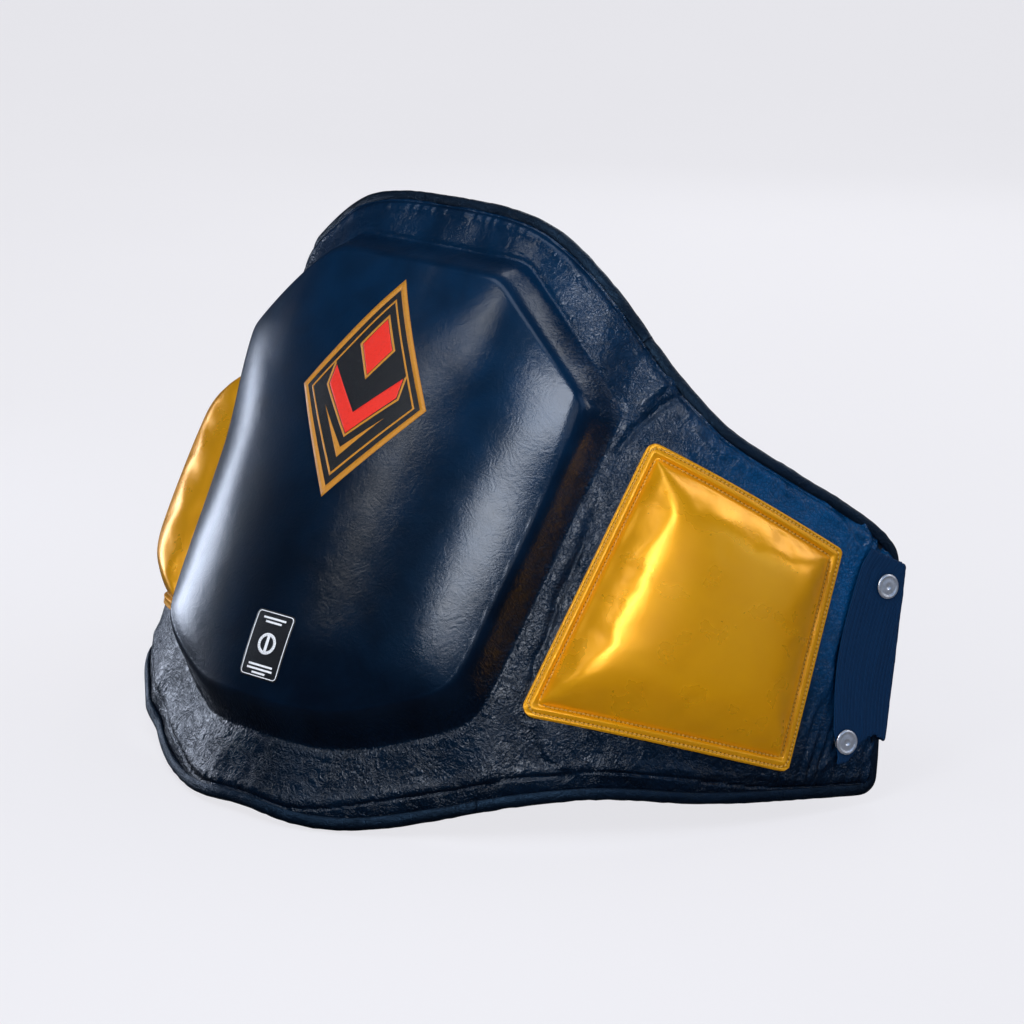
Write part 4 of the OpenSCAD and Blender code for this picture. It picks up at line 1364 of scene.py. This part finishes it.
# ============================================================ straps
STRAP_W, STRAP_T, STRAP_Z = 76.0, 2.5, 24.0
ELASTIC, PANEL, TAPE_T = 150.0, 92.0, 1.5  # elastic length, panel length, tape thickness
STRAP_SKEW = math.tan(math.radians(14.0))  # sideways drift per length
# fold angle in degrees, start of the elastic, its relative thickness at the sewn root,
# kind of tape, tape material, face that carries the tape
STRAPS = {
    "right": (103.0, -0.6, 0.62, "hook", HOOK_TAPE, -1),
    "left": (115.0, 1.4, 0.45, "loop", LOOP_TAPE, 1),
}


def rotation(axis, angle):
    "matrix for a turn about axis 0, 1 or 2"
    i, j = (axis + 1) % 3, (axis + 2) % 3
    matrix = np.eye(3)
    matrix[i, i] = matrix[j, j] = math.cos(angle)
    matrix[i, j] = -math.sin(angle)
    matrix[j, i] = math.sin(angle)
    return matrix


def strap_place(side, along, across, out):
    "strap coordinates to the row frame"
    hinge_arc = end_arc(STRAP_Z) + HINGE_BEYOND
    origin = upright(hinge_arc, STRAP_Z, HINGE_OUT)
    turn = (rotation(2, section_at(hinge_arc)[2]) @ rotation(0, math.pi / 2)
            @ rotation(2, math.atan(SLANT)) @ rotation(1, math.radians(STRAPS[side][0])))
    points = origin + np.stack([along, across + along * STRAP_SKEW, out], -1) @ turn.T
    return row(points * [-1, 1, 1] if side == "left" else points)


def build_strip(name, side, start, end, width, thick, material, middle=0.0, rib=0.0,
                end_radius=0.0, root=1.0):
    "woven strip between two distances along the strap; root is its relative start thickness"
    part, beside = lattice(int((end - start) / 0.8), int(width / 1.6))
    along = mix(start, end, part)
    across = mix(-width / 2, width / 2, beside) * (1 - 2 * fillet(end - along, end_radius) / width)
    edge = np.minimum(across + width / 2, width / 2 - across)
    full = mix(root, 1.0, ease((along - start) / 9.0))
    half = thick / 2 * np.sqrt(np.clip(edge / 1.0, 0.15, 1)) * full
    ribs = rib * (np.abs(np.sin(math.pi * along / 2.4)) - 0.4)
    ribs = (ribs + 0.05 * noise(along, across, 5, 17)) * full ** 3
    outer = strap_place(side, along, across, middle + half + ribs)
    inner = strap_place(side, along, across, middle - half - ribs * 0.6)
    slab = (outer, inner, np.stack([along, across], -1), side == "left")
    return build_slabs(name, [slab], material)


def build_strap(side):
    _, start, root, kind, tape_material_, tape_face = STRAPS[side]
    tip = kind + "_end"
    elastic = build_strip("strap_elastic_" + side, side, start, ELASTIC + 4, STRAP_W, STRAP_T,
                          WEBBING_BLACK, rib=0.22, root=root)
    along = np.array([6.0, ELASTIC])
    near, far = strap_place(side, along, np.zeros(2), np.zeros(2)) / 1000
    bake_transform(elastic)
    describe(elastic, "webbing", "elastic_strap_" + side)
    attach(build_strip("strap_panel_" + side, side, ELASTIC + 0.3, ELASTIC + PANEL,
                       STRAP_W - 0.4, STRAP_T + 0.5, LINING, end_radius=10.0),
           tip, "leather_black", kind + "_panel_" + side)
    attach(build_strip("strap_tape_" + side, side, ELASTIC + 8, ELASTIC + PANEL - 6,
                       STRAP_W - 12, TAPE_T, tape_material_, end_radius=8.0,
                       middle=tape_face * (STRAP_T / 2 + 0.1 + TAPE_T / 2)),
           tip, "tape", kind + "_tape_" + side)


for _, side in SIDES:
    build_strap(side)

# CAD pieces that stay visible: the press stud hardware
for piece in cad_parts.values():
    if not piece.hide_render:
        piece.data.materials.clear()
        piece.data.materials.append(STEEL)

# ============================================================ camera
FLOOR_Z = (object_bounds()[0].z - 0.0003) * 1000
VIEW_AZIMUTH, VIEW_ELEVATION = math.radians(41.64), math.radians(16.10)
VIEW_BACK = np.array([math.sin(VIEW_AZIMUTH) * math.cos(VIEW_ELEVATION),
                      -math.cos(VIEW_AZIMUTH) * math.cos(VIEW_ELEVATION),
                      math.sin(VIEW_ELEVATION)])       # from the pad to the camera
VIEW_RIGHT = np.array([math.cos(VIEW_AZIMUTH), math.sin(VIEW_AZIMUTH), 0.0])
VIEW_UP = np.cross(VIEW_BACK, VIEW_RIGHT)
VIEW_DISTANCE, SHIFT_RIGHT, SHIFT_UP = 2249.34, 98.78, -9.666
VIEW_CENTRE = np.array([0, -13.71, 8.24])


def build_camera():
    data = bpy.data.cameras.new("camera")
    camera = bpy.data.objects.new("camera", data)
    bpy.context.scene.collection.objects.link(camera)
    data.sensor_width = 36.0
    data.lens = 131.14195
    data.clip_start = 0.05         # metres
    data.clip_end = 60
    place = (VIEW_BACK * VIEW_DISTANCE + VIEW_RIGHT * SHIFT_RIGHT + VIEW_UP * SHIFT_UP
             + VIEW_CENTRE)
    matrix = np.eye(4)
    matrix[:3] = np.column_stack([VIEW_RIGHT, VIEW_UP, VIEW_BACK, place / 1000])
    camera.matrix_world = Matrix(matrix.tolist())
    bpy.context.scene.camera = camera
    bpy.context.scene.view_settings.view_transform = "Standard"


# ============================================================ floor, world and lights
def floor_material():
    "pale to the camera and as bounce light, dark in reflections"
    material, nodes, surface = new_material("studio_floor")
    tone = nodes.ramp(nodes.noise(nodes.coords("Object", scale=1.0), 1.4, 4), 0.3, 0.7)
    ray = nodes.node("LightPath").outputs
    pale = nodes.mix_color(tone, (0.80, 0.795, 0.83), (0.81, 0.805, 0.84))
    seen = nodes.mix_color(ray["Is Camera Ray"], pale, (0.11, 0.11, 0.115))
    surface({
        "Base Color": nodes.mix_color(ray["Is Glossy Ray"], seen, (0.02, 0.024, 0.032)),
        "Emission Color": pale,
        "Emission Strength": nodes.math("MULTIPLY", ray["Is Camera Ray"], 0.90),
        "Roughness": 0.9, "Specular IOR Level": 0.0})
    return material


def build_floor():
    "floor that curves up into a backdrop behind the pad"
    flat_end, radius, half_width = 2200, 1600, 9000
    profile = [(-6000, 0.0), (flat_end, 0.0)]          # distance from the camera's side, height
    for k in range(1, 13):
        angle = math.pi / 2 * k / 12
        profile.append((flat_end + radius * math.sin(angle), radius - radius * math.cos(angle)))
    profile.append((flat_end + radius, 7000))
    away = np.array([-math.sin(VIEW_AZIMUTH), math.cos(VIEW_AZIMUTH), 0.0])
    points = [away * depth + VIEW_RIGHT * x + [0, 0, height + FLOOR_Z]
              for depth, height in profile for x in (-half_width, half_width)]
    faces = [[2 * i, 2 * i + 1, 2 * i + 3, 2 * i + 2] for i in range(len(profile) - 1)]
    build("studio_floor", points, faces, floor_material())


def build_world():
    scene = bpy.context.scene
    world = scene.world or bpy.data.worlds.new("studio")
    scene.world = world
    world.use_nodes = True
    nodes = Nodes(world.node_tree)
    output = nodes.node("OutputWorld")
    ray = nodes.node("LightPath").outputs
    # diffuse light, what the camera sees, and what shows in reflections
    color = nodes.mix_color(ray["Is Camera Ray"], (0.52, 0.54, 0.58), (0.84, 0.83, 0.87))
    color = nodes.mix_color(ray["Is Glossy Ray"], color, (0.010, 0.045, 0.110))
    background = nodes.node("Background", {0: color, 1: 1.0})
    nodes.feed(output.inputs[0], background.outputs[0])
    # the setting exists only where the Cycles engine is enabled
    if hasattr(world, "cycles"):
        world.cycles.sampling_method = "NONE"


MIDDLE, BEHIND = (0.02, 0.02, 0.0), (0.0, 0.1, 0.0)
# name, azimuth and elevation in degrees, distance, (width, height), radiance, colour, target;
# azimuth 0 is in front (-y) and grows towards +x; lengths in metres
SOFTBOXES = [
    ("key_right", 31, 37, 0.60, (0.21, 0.22), 11.8, (0.95, 0.98, 1.04), (0.04, 0.0, 0.0)),
    ("key_flange", 56, 24, 0.6, (0.24, 0.14), 1.3, (0.88, 0.96, 1.10), (0.14, -0.03, 0.05)),
    ("key_left", -89, -1, 0.9, (0.29, 0.30), 6.6, (0.88, 0.97, 1.16), (0.0, 0.0, -0.01)),
    ("gold_left", -37, 39, 2.2, (0.24, 0.50), 6.4, (1.0, 0.99, 0.96), (0.2, 0.0, 0.0)),
    ("rim_right", 128, 20, 2.0, (0.30, 0.70), 4.6, (1.0, 0.98, 0.98), (0.2, 0.0, 0.0)),
    ("overhead", -10, 68, 2.0, (2.0, 0.8), 2.0, (0.85, 0.95, 1.10), MIDDLE),
    ("fill_back_right", 98, 26, 2.2, (1.1, 0.9), 0.9, (0.50, 0.75, 1.20), MIDDLE),
    ("back_high", 182, 42, 1.8, (1.6, 0.9), 3.0, (0.97, 0.98, 1.0), BEHIND),
    ("back_side", -150, 16, 1.8, (0.7, 0.7), 2.4, (0.97, 0.98, 1.0), BEHIND),
]


def add_softbox(name, azimuth, elevation, distance, size, radiance, color, target):
    azimuth, elevation = math.radians(azimuth), math.radians(elevation)
    offset = Vector((math.sin(azimuth) * math.cos(elevation),
                     -math.cos(azimuth) * math.cos(elevation), math.sin(elevation))) * distance
    place = Vector(target) + offset
    light = bpy.data.lights.new(name, "AREA")
    light.shape = "RECTANGLE"
    light.size, light.size_y = size
    light.energy = radiance * math.pi * size[0] * size[1]
    light.color = color
    light.spread = math.pi
    lamp = bpy.data.objects.new(name, light)
    bpy.context.scene.collection.objects.link(lamp)
    lamp.visible_camera = False
    lamp.location = place
    lamp.rotation_mode = "QUATERNION"
    lamp.rotation_quaternion = (place - Vector(target)).to_track_quat("Z", "Y")


build_camera()
build_floor()
build_world()
for softbox in SOFTBOXES:
    add_softbox(*softbox)
